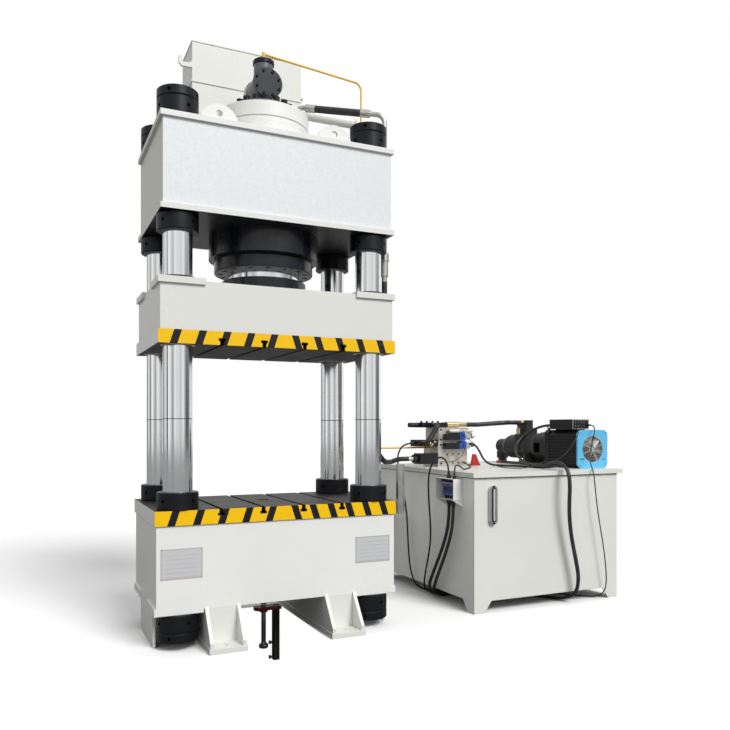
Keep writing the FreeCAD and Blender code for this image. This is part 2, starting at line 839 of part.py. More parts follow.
def ram_bolts():
    """Cap screws sunk in the ram flange, which clamp it to the slide."""
    seat = slide_top + ram_flange_height - bolt_head_height
    circle = (ram_radius + ram_flange_radius) / 2
    radius = ram_bolt_radius()
    bolts = []
    for x, y in ring_of(ram_bolt_count, circle):
        screw = upright(radius, x, y, seat, seat + bolt_head_height * 0.8)
        bolts.append(screw.cut(upright(radius / 2, x, y, seat + bolt_head_height * 0.4,
                                       seat + bolt_head_height)))
    return group(bolts)


def prefill_body():
    """An upright tower crossed by a horizontal body; oil passes from the rear down into the head."""
    tower = upright(tower_radius, 0, 0, head_top, tower_top)
    flange = upright(prefill_flange_radius, 0, 0, head_top, head_top + prefill_flange_height)
    cross = bar(cross_radius, (0, -cross_front, cross_z), (0, cross_rear, cross_z))
    down = upright(tower_bore_radius, 0, 0, head_top - 1, cross_z)
    across = bar(cross_bore_radius, (0, -cross_front - 1, cross_z), (0, cross_rear + 1, cross_z))
    guide = upright(stem_radius + running_clearance, 0, 0, cross_z, tower_top - cap_thickness)
    holes = [upright(prefill_bolt_radius, x, y, head_top - 1, head_top + prefill_flange_height + 1)
             for x, y in ring_of(prefill_bolt_count, prefill_bolt_circle)]
    return joined([tower, flange, cross]).cut([down, across, guide] + holes)


def prefill_covers():
    """The blank flange on the front of the cross body, and the cap on the tower."""
    y = -cross_front - cover_thickness
    front = bar(cover_radius, (0, y, cross_z), (0, -cross_front, cross_z))
    chamfer = nut_chamfer
    cap = turned([(0, tower_top), (cap_radius, tower_top), (cap_radius, tower_top + cap_thickness - chamfer),
                  (cap_radius - chamfer, tower_top + cap_thickness), (0, tower_top + cap_thickness)])
    return group([front, cap])


def prefill_poppet():
    """The check valve's disc under its seat, on a stem guided in the tower."""
    top = head_bottom - poppet_gap
    stem_top = tower_top - 2 * cap_thickness
    return turned([(0, top - poppet_height), (poppet_radius * 0.7, top - poppet_height),
                   (poppet_radius, top - poppet_height / 2), (poppet_radius, top),
                   (valve_seat_radius * 0.8, top), (stem_radius, top + valve_seat_height),
                   (stem_radius, stem_top), (0, stem_top)])


def filling_tank():
    """The welded filling tank on two bearers, with its suction nozzle, band and lifting hook."""
    hx = filling_tank_half_x
    y0 = filling_tank_front
    y1 = y0 + filling_tank_depth
    z0 = crown_top + filling_tank_lift
    z1 = crown_top + filling_tank_top
    band_z = crown_top + filling_tank_band
    box = block(-hx, hx, y0, y1, z0, z1)
    band = block(-hx - 6, hx + 6, y0 - 6, y1 + 6, band_z - 8, band_z + 8)
    lid = block(-hx - 4, hx + 4, y0 - 4, y1 + 4, z1 - 6, z1)
    bearers = []
    for x in (-hx * 0.6, hx * 0.6):
        outline = [(x, y0, crown_top), (x, crown_flange_half_y, crown_top),
                   (x, crown_flange_half_y, crown_bottom + crown_height / 2),
                   (x, crown_flange_half_y + 60, crown_bottom + crown_height / 2),
                   (x, y1, z0 - 30), (x, y1, z0), (x, y0, z0)]
        bearers.append(drawn(outline, (30, 0, 0)))
    nozzle = bar(suction_radius, (0, cross_rear + suction_flange_thickness, cross_z), (0, y0, cross_z))
    flange = bar(suction_flange_radius, (0, cross_rear, cross_z),
                 (0, cross_rear + suction_flange_thickness, cross_z))
    foot = z1 - hook_drop
    tip = -hx - hook_reach
    w = hook_width
    hook = [(-hx, y0, foot + 1.6 * w), (-hx, y0, foot), (tip + 0.6 * w, y0, foot), (tip, y0, foot + 0.7 * w),
            (tip, y0, foot + hook_height), (tip + 0.8 * w, y0, foot + hook_height),
            (tip + 0.8 * w, y0, foot + w), (-hx - 0.8 * w, y0, foot + w)]
    hook_plate = drawn(hook, (0, hook_thickness, 0))
    fitting = bar(14, (hx, y0 + 40, band_z + 45), (hx + 30, y0 + 40, band_z + 45))
    return joined([box, band, lid, nozzle, flange, hook_plate, fitting] + bearers)


# ---- Slide ----

def slide_frame():
    body = block(-slide_body_half_x, slide_body_half_x, -slide_body_half_y, slide_body_half_y,
                 slide_body_bottom, slide_top)
    pads = corner_pads(slide_table_half_x, slide_table_half_y, slide_pad_width,
                       slide_top + slide_pad_rise - slide_pad_thickness, slide_top + slide_pad_rise)
    holes = column_holes(bush_radius, slide_body_bottom, slide_top + slide_pad_rise)
    return joined([body] + pads).cut(holes)


def slide_table():
    table = block(-slide_table_half_x, slide_table_half_x, -slide_table_half_y, slide_table_half_y,
                  slide_bottom, slide_body_bottom)
    cutters = column_holes(bush_radius, slide_bottom, slide_body_bottom)
    return table.cut(cutters + t_slots(slide_table_half_y, slide_bottom, 1))


def guide_bushes():
    inner = column_radius + guide_clearance
    top = slide_top + slide_pad_rise
    return group([turned([(inner, slide_bottom), (bush_radius, slide_bottom),
                          (bush_radius, top), (inner, top)], x, y) for x, y in column_centres])


def wiper_rings():
    inner = column_radius + guide_clearance
    outer = inner + wiper_wall
    seat = slide_top + slide_pad_rise
    top = seat + wiper_height
    return group([turned([(inner, seat), (outer, seat), (outer, top - 4), (outer - 4, top),
                          (inner, top)], x, y) for x, y in column_centres])


# ---- Ejector ----

def ejector_cylinder():
    top = bed_body_top
    bottom = top - ejector_length
    wall = ejector_end_wall
    return turned([(tail_radius + running_clearance, bottom), (ejector_radius, bottom),
                   (ejector_radius, top - ejector_flange_height),
                   (ejector_flange_radius, top - ejector_flange_height),
                   (ejector_flange_radius, top), (ejector_rod_radius + running_clearance, top),
                   (ejector_rod_radius + running_clearance, top - wall),
                   (ejector_bore_radius, top - wall), (ejector_bore_radius, bottom + wall),
                   (tail_radius + running_clearance, bottom + wall)])


def ejector_rod():
    """The rod up to the table and the tail rod down to its foot, turned with their piston."""
    rest = bed_body_top - ejector_length + ejector_end_wall + ejector_top_gap
    top = table_top - ejector_top_gap
    piston = ejector_bore_radius - running_clearance
    foot_top = tail_bottom + tail_foot_height
    return turned([(0, tail_bottom), (tail_foot_radius - 6, tail_bottom),
                   (tail_foot_radius, tail_bottom + 8), (tail_foot_radius, foot_top - 14),
                   (tail_radius, foot_top), (tail_radius, rest), (piston, rest),
                   (piston, rest + ejector_piston_height),
                   (ejector_rod_radius, rest + ejector_piston_height),
                   (ejector_rod_radius, top - 4), (ejector_rod_radius - 4, top), (0, top)])


def ejector_plate():
    z0 = ejector_plate_bottom
    z1 = z0 + ejector_plate_thickness
    c = 20.0
    hy = ejector_plate_half_y
    left, right = -ejector_plate_left, ejector_plate_right
    outline = [(left + c, -hy, z0), (right, -hy, z0), (right, hy, z0), (left + c, hy, z0),
               (left, hy - c, z0), (left, -hy + c, z0)]
    plate = drawn(outline, (0, 0, z1 - z0))
    hub = upright(tail_radius + 14, 0, 0, z0 - 16, z0)
    w = dog_bar_width / 2
    bar_hole = block(dog_bar_x - w, dog_bar_x + w, -w, w, z0 - 1, z1 + 1)
    return joined([plate, hub]).cut([upright(tail_radius, 0, 0, z0 - 17, z1 + 1), bar_hole])


def dog_bar():
    """The square bar that carries the two limit-switch dogs on its left face."""
    w = dog_bar_width / 2
    body = block(dog_bar_x - w, dog_bar_x + w, -w, w, dog_bar_bottom,
                 ejector_plate_bottom + ejector_plate_thickness)
    dogs = []
    for z in dog_levels:
        x = dog_bar_x - w
        dogs.append(bar(dog_radius, (x - dog_length, 0, z), (x, 0, z)))
        dogs.append(bar(dog_radius * 1.6, (x - dog_length, 0, z), (x - dog_length * 0.6, 0, z)))
    return joined([body] + dogs)


def guard_rail():
    """The upright rail beside the table, on an angle bolted to the table's side."""
    x0, x1 = rail_x - rail_width / 2, rail_x + rail_width / 2
    top = rail_bottom + rail_length
    rail = block(x0, x1, rail_y, rail_y + rail_depth, rail_bottom, top)
    groove = block(x0 + rail_width * 0.45, x1 - rail_width * 0.1, rail_y - 1, rail_y + 6,
                   rail_bottom + 12, top - 12)
    holes = []
    pitch = rail_width * 0.4
    count = int((rail_length - 2 * pitch) / pitch)
    for i in range(count):
        z = rail_bottom + pitch * (i + 1.5)
        holes.append(bar(rail_width * 0.09, (x0 + rail_width * 0.2, rail_y - 1, z),
                         (x0 + rail_width * 0.2, rail_y + 8, z)))
    z0 = table_top - bed_table_thickness * 0.8
    angle = block(bed_table_half_x, x1 - rail_width / 2, rail_y + rail_depth, rail_y + rail_depth + 8,
                  z0, z0 + rail_foot)
    tab = block(bed_table_half_x, bed_table_half_x + 8, rail_y + rail_depth, rail_y + rail_depth + rail_foot,
                z0, z0 + rail_foot)
    return joined([rail.cut([groove] + holes), angle, tab])


# ---- Pipes of the press ----

def pilot_pipe():
    """The thin pilot line from its elbow on the valve's cap, along the crown and down to the manifold."""
    z = tower_top + cap_thickness + pilot_rise
    socket = turned([(0, tower_top + cap_thickness), (pilot_radius * 2, tower_top + cap_thickness),
                     (pilot_radius * 2, z - pilot_radius * 1.5), (pilot_radius * 1.6, z - pilot_radius * 1.5),
                     (pilot_radius * 1.6, z + pilot_radius * 1.4), (0, z + pilot_radius * 1.4)])
    length = math.hypot(pilot_x, pilot_y)
    gap = pilot_radius * 1.6 + pipe_end_gap
    start = (pilot_x * gap / length, pilot_y * gap / length, z)
    end_y = manifold_y + manifold_depth * 0.6
    end_z = lid_top + manifold_height * 0.75
    line = tube([start, (pilot_x, pilot_y, z), (pilot_x, pilot_y, end_z),
                 (pilot_x + pilot_step, pilot_y + pilot_step / 6, end_z),
                 (pilot_x + 2 * pilot_step, end_y, end_z), (manifold_x, end_y, end_z)],
                pilot_radius, pilot_bend)
    return group([socket, line])


def overflow_pipe():
    """The overflow from the filling tank, down behind the press and into the power unit's tank."""
    z = crown_top + overflow_above_crown
    return tube([(overflow_start_x, filling_tank_front, z), (overflow_start_x, overflow_y, z),
                 (overflow_x, overflow_y, z), (overflow_x, overflow_y, overflow_turn_z),
                 (overflow_x, overflow_tank_y, overflow_turn_z),
                 (unit_left, overflow_tank_y, overflow_turn_z)], overflow_radius, overflow_bend)


def crown_hose_ends():
    """Where the hose over the crown starts and ends, between its two steel elbows."""
    left = V(port_x, port_y, head_top + port_rise)
    right = V(pressure_x, pressure_y, crown_top + pressure_crest)
    run = right - left
    return left, right, left + run * hose_start_share, left + run * hose_end_share


def pressure_pipe():
    """Steel elbows at both ends of the crown hose, and the drop beside the crown."""
    left, right, start, end = crown_hose_ends()
    low = crown_bottom - pressure_fitting_drop
    first = tube([(port_x, port_y, head_top), tuple(left), tuple(start)], pressure_radius, 55)
    second = tube([tuple(end), tuple(right), (pressure_x, pressure_y, low)], pressure_radius, 70)
    length = ferrule_length
    run = (right - left).normalize()
    ferrules = [bar(ferrule_radius, tuple(start), tuple(start + run * length)),
                bar(ferrule_radius, tuple(end - run * length), tuple(end))]
    collar = upright(ferrule_radius + 6, pressure_x, pressure_y, low - pressure_collar, low)
    base = upright(pressure_radius + 8, port_x, port_y, head_top, head_top + 24)
    return group([joined([first, base, ferrules[0]]), joined([second, collar, ferrules[1]])])


def press_hoses():
    """The hose over the crown, and the long hose from the crown down to the manifold."""
    left, right, start, end = crown_hose_ends()
    run = (right - left).normalize() * ferrule_length
    over = bar(crown_hose_radius, tuple(start + run), tuple(end - run))
    low = crown_bottom - pressure_fitting_drop - pressure_collar
    top = low - pressure_fitting
    fitting = upright(ferrule_radius, pressure_x, pressure_y, top, low)
    x, y, z = pressure_x + hose_radius, press_hose_y, side_valve_z()
    end_y = manifold_y + lower_valve_front + lower_valve_depth / 2
    left = side_valve_left()
    long_hose = tube([(pressure_x, pressure_y, top), (pressure_x, pressure_y, top - press_hose_drop),
                      (x, 0.6 * y, (top + press_hose_low) / 2), (x, y, press_hose_low),
                      (x + press_hose_bend, y, z),
                      (left - 1.8 * press_hose_bend, end_y - 0.5 * press_hose_bend, z - hose_radius),
                      (left - press_hose_bend, end_y, z), (left, end_y, z)], hose_radius, press_hose_bend)
    return group([over, joined([fitting, long_hose])])


# ---- Power unit ----

def side_valve_left():
    return manifold_x - lower_valve_length - lower_cap_length


def side_valve_z():
    return lid_top + lower_valve_rise + lower_valve_height / 2


def tank_body():
    """The welded oil tank; its walls run down into a tapered foot at each corner."""
    body = block(unit_left, unit_right, unit_front, unit_rear, unit_bottom, unit_body_top)
    feet = []
    wide = unit_foot_width + unit_foot_taper
    for x, sx in ((unit_left, 1), (unit_right, -1)):
        for y, sy in ((unit_front, 1), (unit_rear, -1)):
            along_x = [(x, y, 0), (x + sx * unit_foot_width, y, 0), (x + sx * wide, y, unit_bottom),
                       (x, y, unit_bottom)]
            along_y = [(x, y, 0), (x, y + sy * unit_foot_width, 0), (x, y + sy * wide, unit_bottom),
                       (x, y, unit_bottom)]
            feet.append(drawn(along_x, (0, sy * 8, 0)))
            feet.append(drawn(along_y, (sx * 8, 0, 0)))
            x0, x1 = sorted((x, x + sx * unit_foot_width))
            y0, y1 = sorted((y, y + sy * unit_foot_width))
            feet.append(block(x0, x1, y0, y1, 0, 8))
    return joined([body] + feet)


def tank_lid():
    o = lid_overhang
    lid = block(unit_left - o, unit_right + lid_overhang_right, unit_front - o, unit_rear + o,
                unit_body_top, lid_top)
    x, y = unit_right - breather_inset_x, unit_rear - breather_inset_y
    cap_z = lid_top + breather_neck_height
    neck = upright(breather_neck_radius, x, y, lid_top, cap_z)
    cap = upright(breather_radius, x, y, cap_z, cap_z + breather_height)
    return joined([lid, neck, cap])


def level_gauge():
    """A long level gauge with rounded ends and a sunk window."""
    r = gauge_width / 2
    z0, z1 = gauge_bottom + r, gauge_bottom + gauge_length - r
    y0, y1 = unit_front - gauge_depth, unit_front
    outer = joined([bar(r, (gauge_x, y0, z0), (gauge_x, y1, z0)),
                    bar(r, (gauge_x, y0, z1), (gauge_x, y1, z1)),
                    block(gauge_x - r, gauge_x + r, y0, y1, z0, z1)])
    w = r - gauge_window_inset
    sunk = y0 + gauge_depth * 0.4
    window = joined([bar(w, (gauge_x, y0 - 1, z0), (gauge_x, sunk, z0)),
                     bar(w, (gauge_x, y0 - 1, z1), (gauge_x, sunk, z1)),
                     block(gauge_x - w, gauge_x + w, y0 - 1, sunk, z0, z1)])
    return outer.cut(window)


def motor_outline(half, corner, y):
    """A square with cut corners, in the plane across the motor's axis."""
    h, c = half, corner
    flat = [(h - c, -h), (h, -h + c), (h, h - c), (h - c, h), (-h + c, h), (-h, h - c),
            (-h, -h + c), (-h + c, -h)]
    return [(motor_x + a, y, motor_z + b) for a, b in flat]


def motor_housing():
    """The finned motor body, bored for its rotor shaft, with its mounting flange and lifting eye."""
    half = motor_width / 2
    body = drawn(motor_outline(half, motor_corner, motor_front), (0, motor_rear - motor_front, 0))
    span = motor_width - 2 * motor_corner
    pitch = span / motor_fin_count
    grooves = []
    y0, y1 = motor_front - 1, motor_rear + 1
    for i in range(motor_fin_count):
        at = -span / 2 + (i + 0.5) * pitch
        a0, a1 = at - motor_fin_gap / 2, at + motor_fin_gap / 2
        for side in (-1, 1):
            b0, b1 = sorted((side * (half - motor_fin_depth), side * (half + 1)))
            grooves.append(block(motor_x + b0, motor_x + b1, y0, y1, motor_z + a0, motor_z + a1))
    flange = drawn(motor_outline(half, motor_corner / 2, motor_rear), (0, motor_flange_thickness, 0))
    mid_y = motor_rear + motor_flange_thickness / 2
    top = motor_z + half
    eye_x = motor_x - half + motor_eye_inset
    eye = Part.makeTorus(motor_eye_radius, motor_eye_wire, V(eye_x, mid_y, top + motor_eye_rise), V(0, 1, 0))
    stud = upright(2 * motor_eye_wire, eye_x, mid_y, top, top + motor_eye_rise - motor_eye_radius - 1)
    pocket = bar(fan_opening_radius, (motor_x, motor_front - 1, motor_z),
                 (motor_x, motor_front + fan_pocket, motor_z))
    shaft_hole = bar(shaft_radius + running_clearance, (motor_x, motor_front - 1, motor_z),
                     (motor_x, motor_rear + motor_flange_thickness + 1, motor_z))
    return joined([body.cut(grooves + [pocket]), flange, eye, stud]).cut(shaft_hole)


def fan_cover():
    """The square fan housing: a cut-cornered frame round a wire guard of rings and spokes."""
    half = motor_width / 2
    y0 = motor_front - fan_cover_thickness
    frame = drawn(motor_outline(half, motor_corner * 0.7, y0), (0, fan_cover_thickness, 0))
    hole = bar(fan_opening_radius, (motor_x, y0 - 1, motor_z), (motor_x, motor_front + 1, motor_z))
    pieces = [frame.cut(hole)]
    w = grille_wire
    pitch = fan_opening_radius / (grille_ring_count + 0.5)
    for i in range(grille_ring_count):
        r = pitch * (i + 1)
        pieces.append(turned_y([(r - w / 2, y0), (r + w / 2, y0), (r + w / 2, y0 + w), (r - w / 2, y0 + w)],
                               motor_x, motor_z))
    for i in range(grille_spoke_count):
        spoke = block(motor_x - fan_opening_radius - w, motor_x + fan_opening_radius + w, y0, y0 + w,
                      motor_z - w, motor_z + w)
        spoke.rotate(V(motor_x, 0, motor_z), V(0, 1, 0), 180.0 * (i + 0.5) / grille_spoke_count)
        pieces.append(spoke)
    return joined(pieces)


def motor_fan():
    """Fan wheel and motor shaft: twisted blades on a hub, and the shaft through to the coupling."""
    y0 = motor_front - fan_cover_thickness + fan_clearance + grille_wire
    y1 = motor_front + fan_pocket - fan_clearance
    hub = bar(fan_hub_radius, (motor_x, y0, motor_z), (motor_x, y1, motor_z))
    blades = []
    reach = fan_opening_radius - fan_clearance
    for i in range(fan_blade_count):
        a = 360.0 * i / fan_blade_count
        blade = drawn([(motor_x, y0 + 2, motor_z - 22), (motor_x, y0 + 2 + fan_blade_thickness, motor_z - 22),
                       (motor_x, y1 - 2, motor_z + 22), (motor_x, y1 - 2 - fan_blade_thickness, motor_z + 22)],
                      (reach, 0, 0))
        blade.rotate(V(motor_x, 0, motor_z), V(0, 1, 0), a)
        blades.append(blade)
    wheel = joined([hub] + blades)
    end = coupling_start() + coupling_length / 2 - coupling_gap / 2
    shaft = bar(shaft_radius, (motor_x, y0, motor_z), (motor_x, end, motor_z))
    return joined([wheel, shaft])


def bell_start():
    return motor_rear + motor_flange_thickness


def pump_start():
    return bell_start() + bell_length


def coupling_start():
    return bell_start() + (bell_length - coupling_length) / 2


def terminal_box():
    """The motor's terminal box with its lid, on a seat across the motor's top."""
    x0 = motor_x - motor_width / 2
    y0 = terminal_box_front
    y1 = y0 + terminal_box_length
    z0 = motor_z + motor_width / 2
    box = block(x0, x0 + terminal_box_width, y0, y1, z0 + terminal_box_gap, z0 + terminal_box_height)
    seat = block(x0 + motor_corner, x0 + terminal_box_width - 20, y0 + 30, y1 - 30,
                 z0, z0 + terminal_box_gap)
    lid = block(x0 - 2, x0 + terminal_box_width + 2, y0 - 2, y1 + 2, z0 + terminal_box_height,
                z0 + terminal_box_height + terminal_lid_thickness)
    gland_z = z0 + terminal_box_height / 2
    fan_x = x0 + terminal_box_width - terminal_gland_inset
    fan_gland = bar(fan_gland_radius, (fan_x, y0 - terminal_gland_reach, gland_z), (fan_x, y0, gland_z))
    power_x = x0 + 4 * terminal_gland_inset
    power_gland = bar(power_gland_radius, (power_x, y1, gland_z),
                      (power_x, y1 + 2 * terminal_gland_reach, gland_z))
    return joined([box, seat, lid, fan_gland, power_gland])


def bell_housing():
    """The bell between motor and pump, open at the sides over the coupling."""
    y0, y1 = bell_start(), pump_start()
    r, w = bell_radius, bell_wall
    e = bell_end_wall
    neck = r * 0.92
    shell = turned_y([(r - w, y0 + e), (r - w, y1 - e), (coupling_radius, y1 - e), (coupling_radius, y1),
                      (neck, y1), (neck, y1 - bell_neck), (r, y1 - 2 * bell_neck), (r, y0),
                      (coupling_radius + 8, y0), (coupling_radius + 8, y0 + e)], motor_x, motor_z)
    mid = (y0 + y1) / 2
    h = bell_window / 2
    windows = [block(motor_x + s * r - 60, motor_x + s * r + 60, mid - h, mid + h, motor_z - h, motor_z + h)
               for s in (-1, 1)]
    return shell.cut(windows)


def coupling_half(y0, y1):
    """One hub of the jaw coupling, bored for its shaft."""
    hub = bar(coupling_radius - 8, (motor_x, y0, motor_z), (motor_x, y1, motor_z))
    bore = bar(shaft_radius, (motor_x, y0 - 1, motor_z), (motor_x, y1 + 1, motor_z))
    return hub.cut(bore)


def drive_coupling():
    """Two coupling hubs with the spider between them, and the pump's shaft in its hub."""
    y0 = coupling_start()
    mid = y0 + coupling_length / 2
    g = coupling_gap + 8
    motor_hub = coupling_half(y0, mid - g)
    pump_hub = coupling_half(mid + g, y0 + coupling_length)
    spider = turned_y([(shaft_radius + 2, mid - g), (coupling_radius - 10, mid - g),
                       (coupling_radius - 10, mid + g), (shaft_radius + 2, mid + g)], motor_x, motor_z)
    shaft = bar(shaft_radius, (motor_x, mid + coupling_gap / 2, motor_z),
                (motor_x, pump_start() + pump_shaft_depth, motor_z))
    return group([motor_hub, pump_hub, spider, shaft])


def pump():
    """The axial piston pump: flange, tapering body, end cover, port block and control block."""
    y = pump_start()
    t = pump_flange_thickness
    end = y + pump_length
    far = end + pump_end_length
    r = shaft_radius + running_clearance
    step = pump_flange_thickness / 3
    body = turned_y([(r, y), (pump_flange_radius, y), (pump_flange_radius, y + t), (pump_radius * 0.9, y + t),
                     (pump_radius, y + 3 * t), (pump_radius, end - 2 * t), (pump_radius * 0.82, end),
                     (pump_end_radius, end), (pump_end_radius, far - step), (pump_end_radius - step, far),
                     (0, far), (0, y + 2 * t + 2), (r, y + 2 * t + 2)], motor_x, motor_z)
    w = pump_block_width / 2
    top = motor_z + pump_radius + pump_block_height
    start = y + pump_block_start
    ports = block(motor_x - w, motor_x + w, start, start + pump_block_length, motor_z, top)
    stack_port, control_port = pump_ports()
    x, stack_y = stack_port[:2]
    control_y, control_z = control_port[1:]
    stack = block(x, 2 * motor_x - x, stack_y - pump_stack_length / 2, stack_y + pump_stack_length / 2,
                  top, top + pump_stack_height)
    control = block(motor_x - w - pump_control_width, motor_x - w, control_y - pump_control_length / 2,
                    control_y + pump_control_length / 2, motor_z - pump_control_width / 2, control_z)
    return joined([body, ports, stack, control])


def pump_rails():
    """The mounting rails under the pump, its cradle, and the gusset that braces the hoses."""
    half = motor_width / 2
    t = rail_thickness
    rails = [block(motor_x + x - 1.25 * t, motor_x + x + 1.25 * t, bell_start() + 40,
                   pump_start() + pump_length, lid_top, lid_top + t)
             for x in (1.25 * t - half, half - 1.25 * t)]
    y = pump_start()
    end = y + pump_flange_thickness
    cradle = block(motor_x - half, motor_x + half, y, end, lid_top + t, motor_z - pump_flange_radius / 2)
    cut = bar(pump_flange_radius, (motor_x, y - 1, motor_z), (motor_x, end + 1, motor_z))
    gx = manifold_x + manifold_width + 3 * t
    y = manifold_y + 2 * t
    g = gusset_size
    gusset = drawn([(gx, y, lid_top), (gx + g, y, lid_top), (gx + 0.55 * g, y, lid_top + g),
                    (gx + 0.2 * g, y, lid_top + g)], (0, t / 2, 0))
    flat = block(gx, gx + g, y, y + 0.8 * g, lid_top, lid_top + t / 2)
    return group(rails + [cradle.cut(cut), joined([gusset, flat])])


def manifold_block():
    """The steel manifold, drilled with plugged ports on its front face."""
    x0, y0, z0 = manifold_x, manifold_y, lid_top
    block_body = block(x0, x0 + manifold_width, y0, y0 + manifold_depth, z0, z0 + manifold_height)
    holes = []
    for row in range(2):
        for col in range(3):
            x = x0 + manifold_width * (0.30 + 0.2 * col)
            z = z0 + manifold_height * (0.14 + 0.34 * row)
            holes.append(bar(manifold_port_radius, (x, y0 - 1, z), (x, y0 + 18, z)))
    return block_body.cut(holes)


def cartridge_block():
    """The cartridge valve block on the manifold, with a round valve nose at its right end."""
    x0, y0 = manifold_x + cartridge_inset, manifold_y + cartridge_inset
    z0 = lid_top + manifold_height
    x1 = manifold_x + manifold_width - cartridge_inset
    y1 = manifold_y + manifold_depth - cartridge_inset
    body = block(x0, x1, y0, y1, z0, z0 + cartridge_height)
    y, z = (y0 + y1) / 2 - cartridge_nose_front, z0 + cartridge_height * 0.58
    tip = x1 + cartridge_nose_length
    nose = bar(cartridge_nose_radius, (x1, y, z), (tip, y, z))
    cap = bar(cartridge_nose_radius * 0.6, (tip, y, z), (tip + cartridge_cap_length, y, z))
    return joined([body, nose, cap])


def valve_stack():
    """The valve bodies: distributor on top, two side valves on the left, pilot valves in front."""
    x0, y0 = manifold_x, manifold_y
    z1 = lid_top + manifold_height
    z2 = z1 + cartridge_height
    z3 = z2 + top_block_height
    left = x0 - distributor_left
    y1 = y0 + distributor_front
    middle = y1 + distributor_depth / 2
    top = block(left, x0 + distributor_right, y1, y1 + distributor_depth, z2, z3)
    tip = bar(distributor_tip_radius, (left - distributor_tip_length, middle, (z2 + z3) / 2),
              (left, middle, (z2 + z3) / 2))
    studs = [upright(10, left + distributor_stud_pitch * (i + 0.5), middle, z3, z3 + 16) for i in range(4)]
    y1 = y0 + upper_valve_front
    z = z1 - upper_valve_drop
    upper = block(x0 - upper_valve_length, x0, y1, y1 + upper_valve_depth, z, z + upper_valve_height)
    y1 = y0 + lower_valve_front
    y2 = y1 + lower_valve_depth
    z = side_valve_z()
    x1 = x0 - lower_valve_length
    lower = block(x1, x0, y1, y2, z - lower_valve_height / 2, z + lower_valve_height / 2)
    cap = bar(lower_cap_radius, (side_valve_left(), (y1 + y2) / 2, z), (x1, (y1 + y2) / 2, z))
    pilots = [block(x, x1, y - solenoid_depth, y, z - pilot_valve_height / 2, z + pilot_valve_height / 2)
              for x, x1, y, z in pilot_places()]
    return group([joined([top, tip] + studs), upper, joined([lower, cap])] + pilots)


def pilot_places():
    """Each pilot valve: its left and right ends, the face that it stands on and its height."""
    x = manifold_x + pilot_valve_left
    z = lid_top + manifold_height
    return ((x, x + pilot_valve_length, manifold_y, z - pilot_valve_drop + pilot_valve_height / 2),
            (x + cartridge_inset, x + cartridge_inset + pilot_valve_length, manifold_y + cartridge_inset,
             z + cartridge_inset + pilot_valve_height / 2))


def solenoids():
    """The blue coils on the ends of the two pilot valves, with their plugs."""
    made = []
    for place in pilot_places():
        x, y, z = place[1:]
        y0 = y - solenoid_depth
        y1 = y - 2
        top = z + solenoid_height / 2
        end = x + solenoid_width
        coil = block(x, end, y0, y1, z - solenoid_height / 2, top)
        stem = bar(solenoid_height / 4, (end, (y0 + y1) / 2, z), (end + solenoid_height / 2, (y0 + y1) / 2, z))
        plug = block(x + solenoid_width / 4, end - solenoid_width / 4, y0 + 8, y1 - 8, top,
                     top + solenoid_height / 4)
        made.append(joined([coil, stem, plug]))
    return group(made)


def pump_ports():
    """Where the two pressure hoses meet the pump: its port stack's left face, its control's top."""
    middle = pump_start() + pump_block_start + pump_block_length / 2
    top = motor_z + pump_radius + pump_block_height
    return ((motor_x - 0.3 * pump_block_width, middle, top + 0.7 * pump_stack_height),
            (motor_x - (pump_block_width + pump_control_width) / 2, middle, motor_z + pump_control_height))


def unit_hoses():
    """The two hoses from the distributor to the pump, and the short hose in front of the manifold."""
    x, y0 = manifold_x + distributor_right, manifold_y + distributor_front
    seat = lid_top + manifold_height + cartridge_height
    ferrule = hose_radius + hose_wall
    z = seat + ferrule + 1
    run = unit_ferrule_length
    (hx, hy, hz), (lx, ly, lz) = pump_ports()
    y1, y2 = y0 + 0.3 * distributor_depth, y0 + 0.7 * distributor_depth
    crest = z + hose_radius
    first = tube([(x + run, y1, z), (x + 2.6 * run, y1 + 0.1 * run, z),
                  (hx - 2.1 * run, hy - run, crest), (hx - run, hy, hz), (hx, hy, hz)],
                 hose_radius, 0.9 * run)
    second = tube([(x + run, y2, z), (x + 2.6 * run, y2 + 0.1 * run, z),
                   (lx - 2 * run, ly - 0.3 * run, crest), (lx, ly, crest), (lx, ly, lz)],
                  thin_hose_radius, 0.32 * run)
    ferrules = [bar(ferrule, (x, y1, z), (x + run, y1, z)),
                bar(thin_hose_radius + hose_wall, (x, y2, z), (x + run, y2, z))]
    x = manifold_x - 1.4 * hose_wall - drop_hose_radius
    low_x = manifold_x - 0.7 * upper_valve_length
    y = manifold_y - drop_hose_reach
    z = seat + top_block_height / 2
    low_z = lid_top + manifold_height - upper_valve_drop + upper_valve_height / 2
    drop = tube([(x, y0, z), (x, y, z), (low_x, y, low_z), (low_x, manifold_y + upper_valve_front, low_z)],
                drop_hose_radius, 1.3 * drop_hose_radius)
    return group([joined([first, ferrules[0]]), joined([second, ferrules[1]]), drop])


def junction_box():
    """The sheet-steel junction box, open towards the aisle, with a rail inside and cable glands."""
    x0, x1 = unit_left - box_depth, unit_left
    y0, y1 = box_front, box_front + box_length
    z0, z1 = box_bottom, box_bottom + box_height
    w = box_wall
    inside = block(x0 - 1, x1 - w, y0 + w, y1 - w, z0 + w, z1 - w)
    middle = (z0 + z1) / 2
    rail = block(x1 - w - box_rail_depth, x1 - w, y0 + 5 * w, y1 - 5 * w,
                 middle - box_rail_height / 2, middle + box_rail_height / 2)
    brackets = [drawn([(x0, y, z0), (x1, y, z0), (x1, y, z0 - box_bracket_drop)], (0, w, 0))
                for y in (y0 + 2 * w, y1 - 3 * w)]
    glands = [upright(r, x, y, z, z + h) for x, y, z, h, r in gland_places()]
    return joined([block(x0, x1, y0, y1, z0, z1).cut(inside), rail] + brackets + glands)


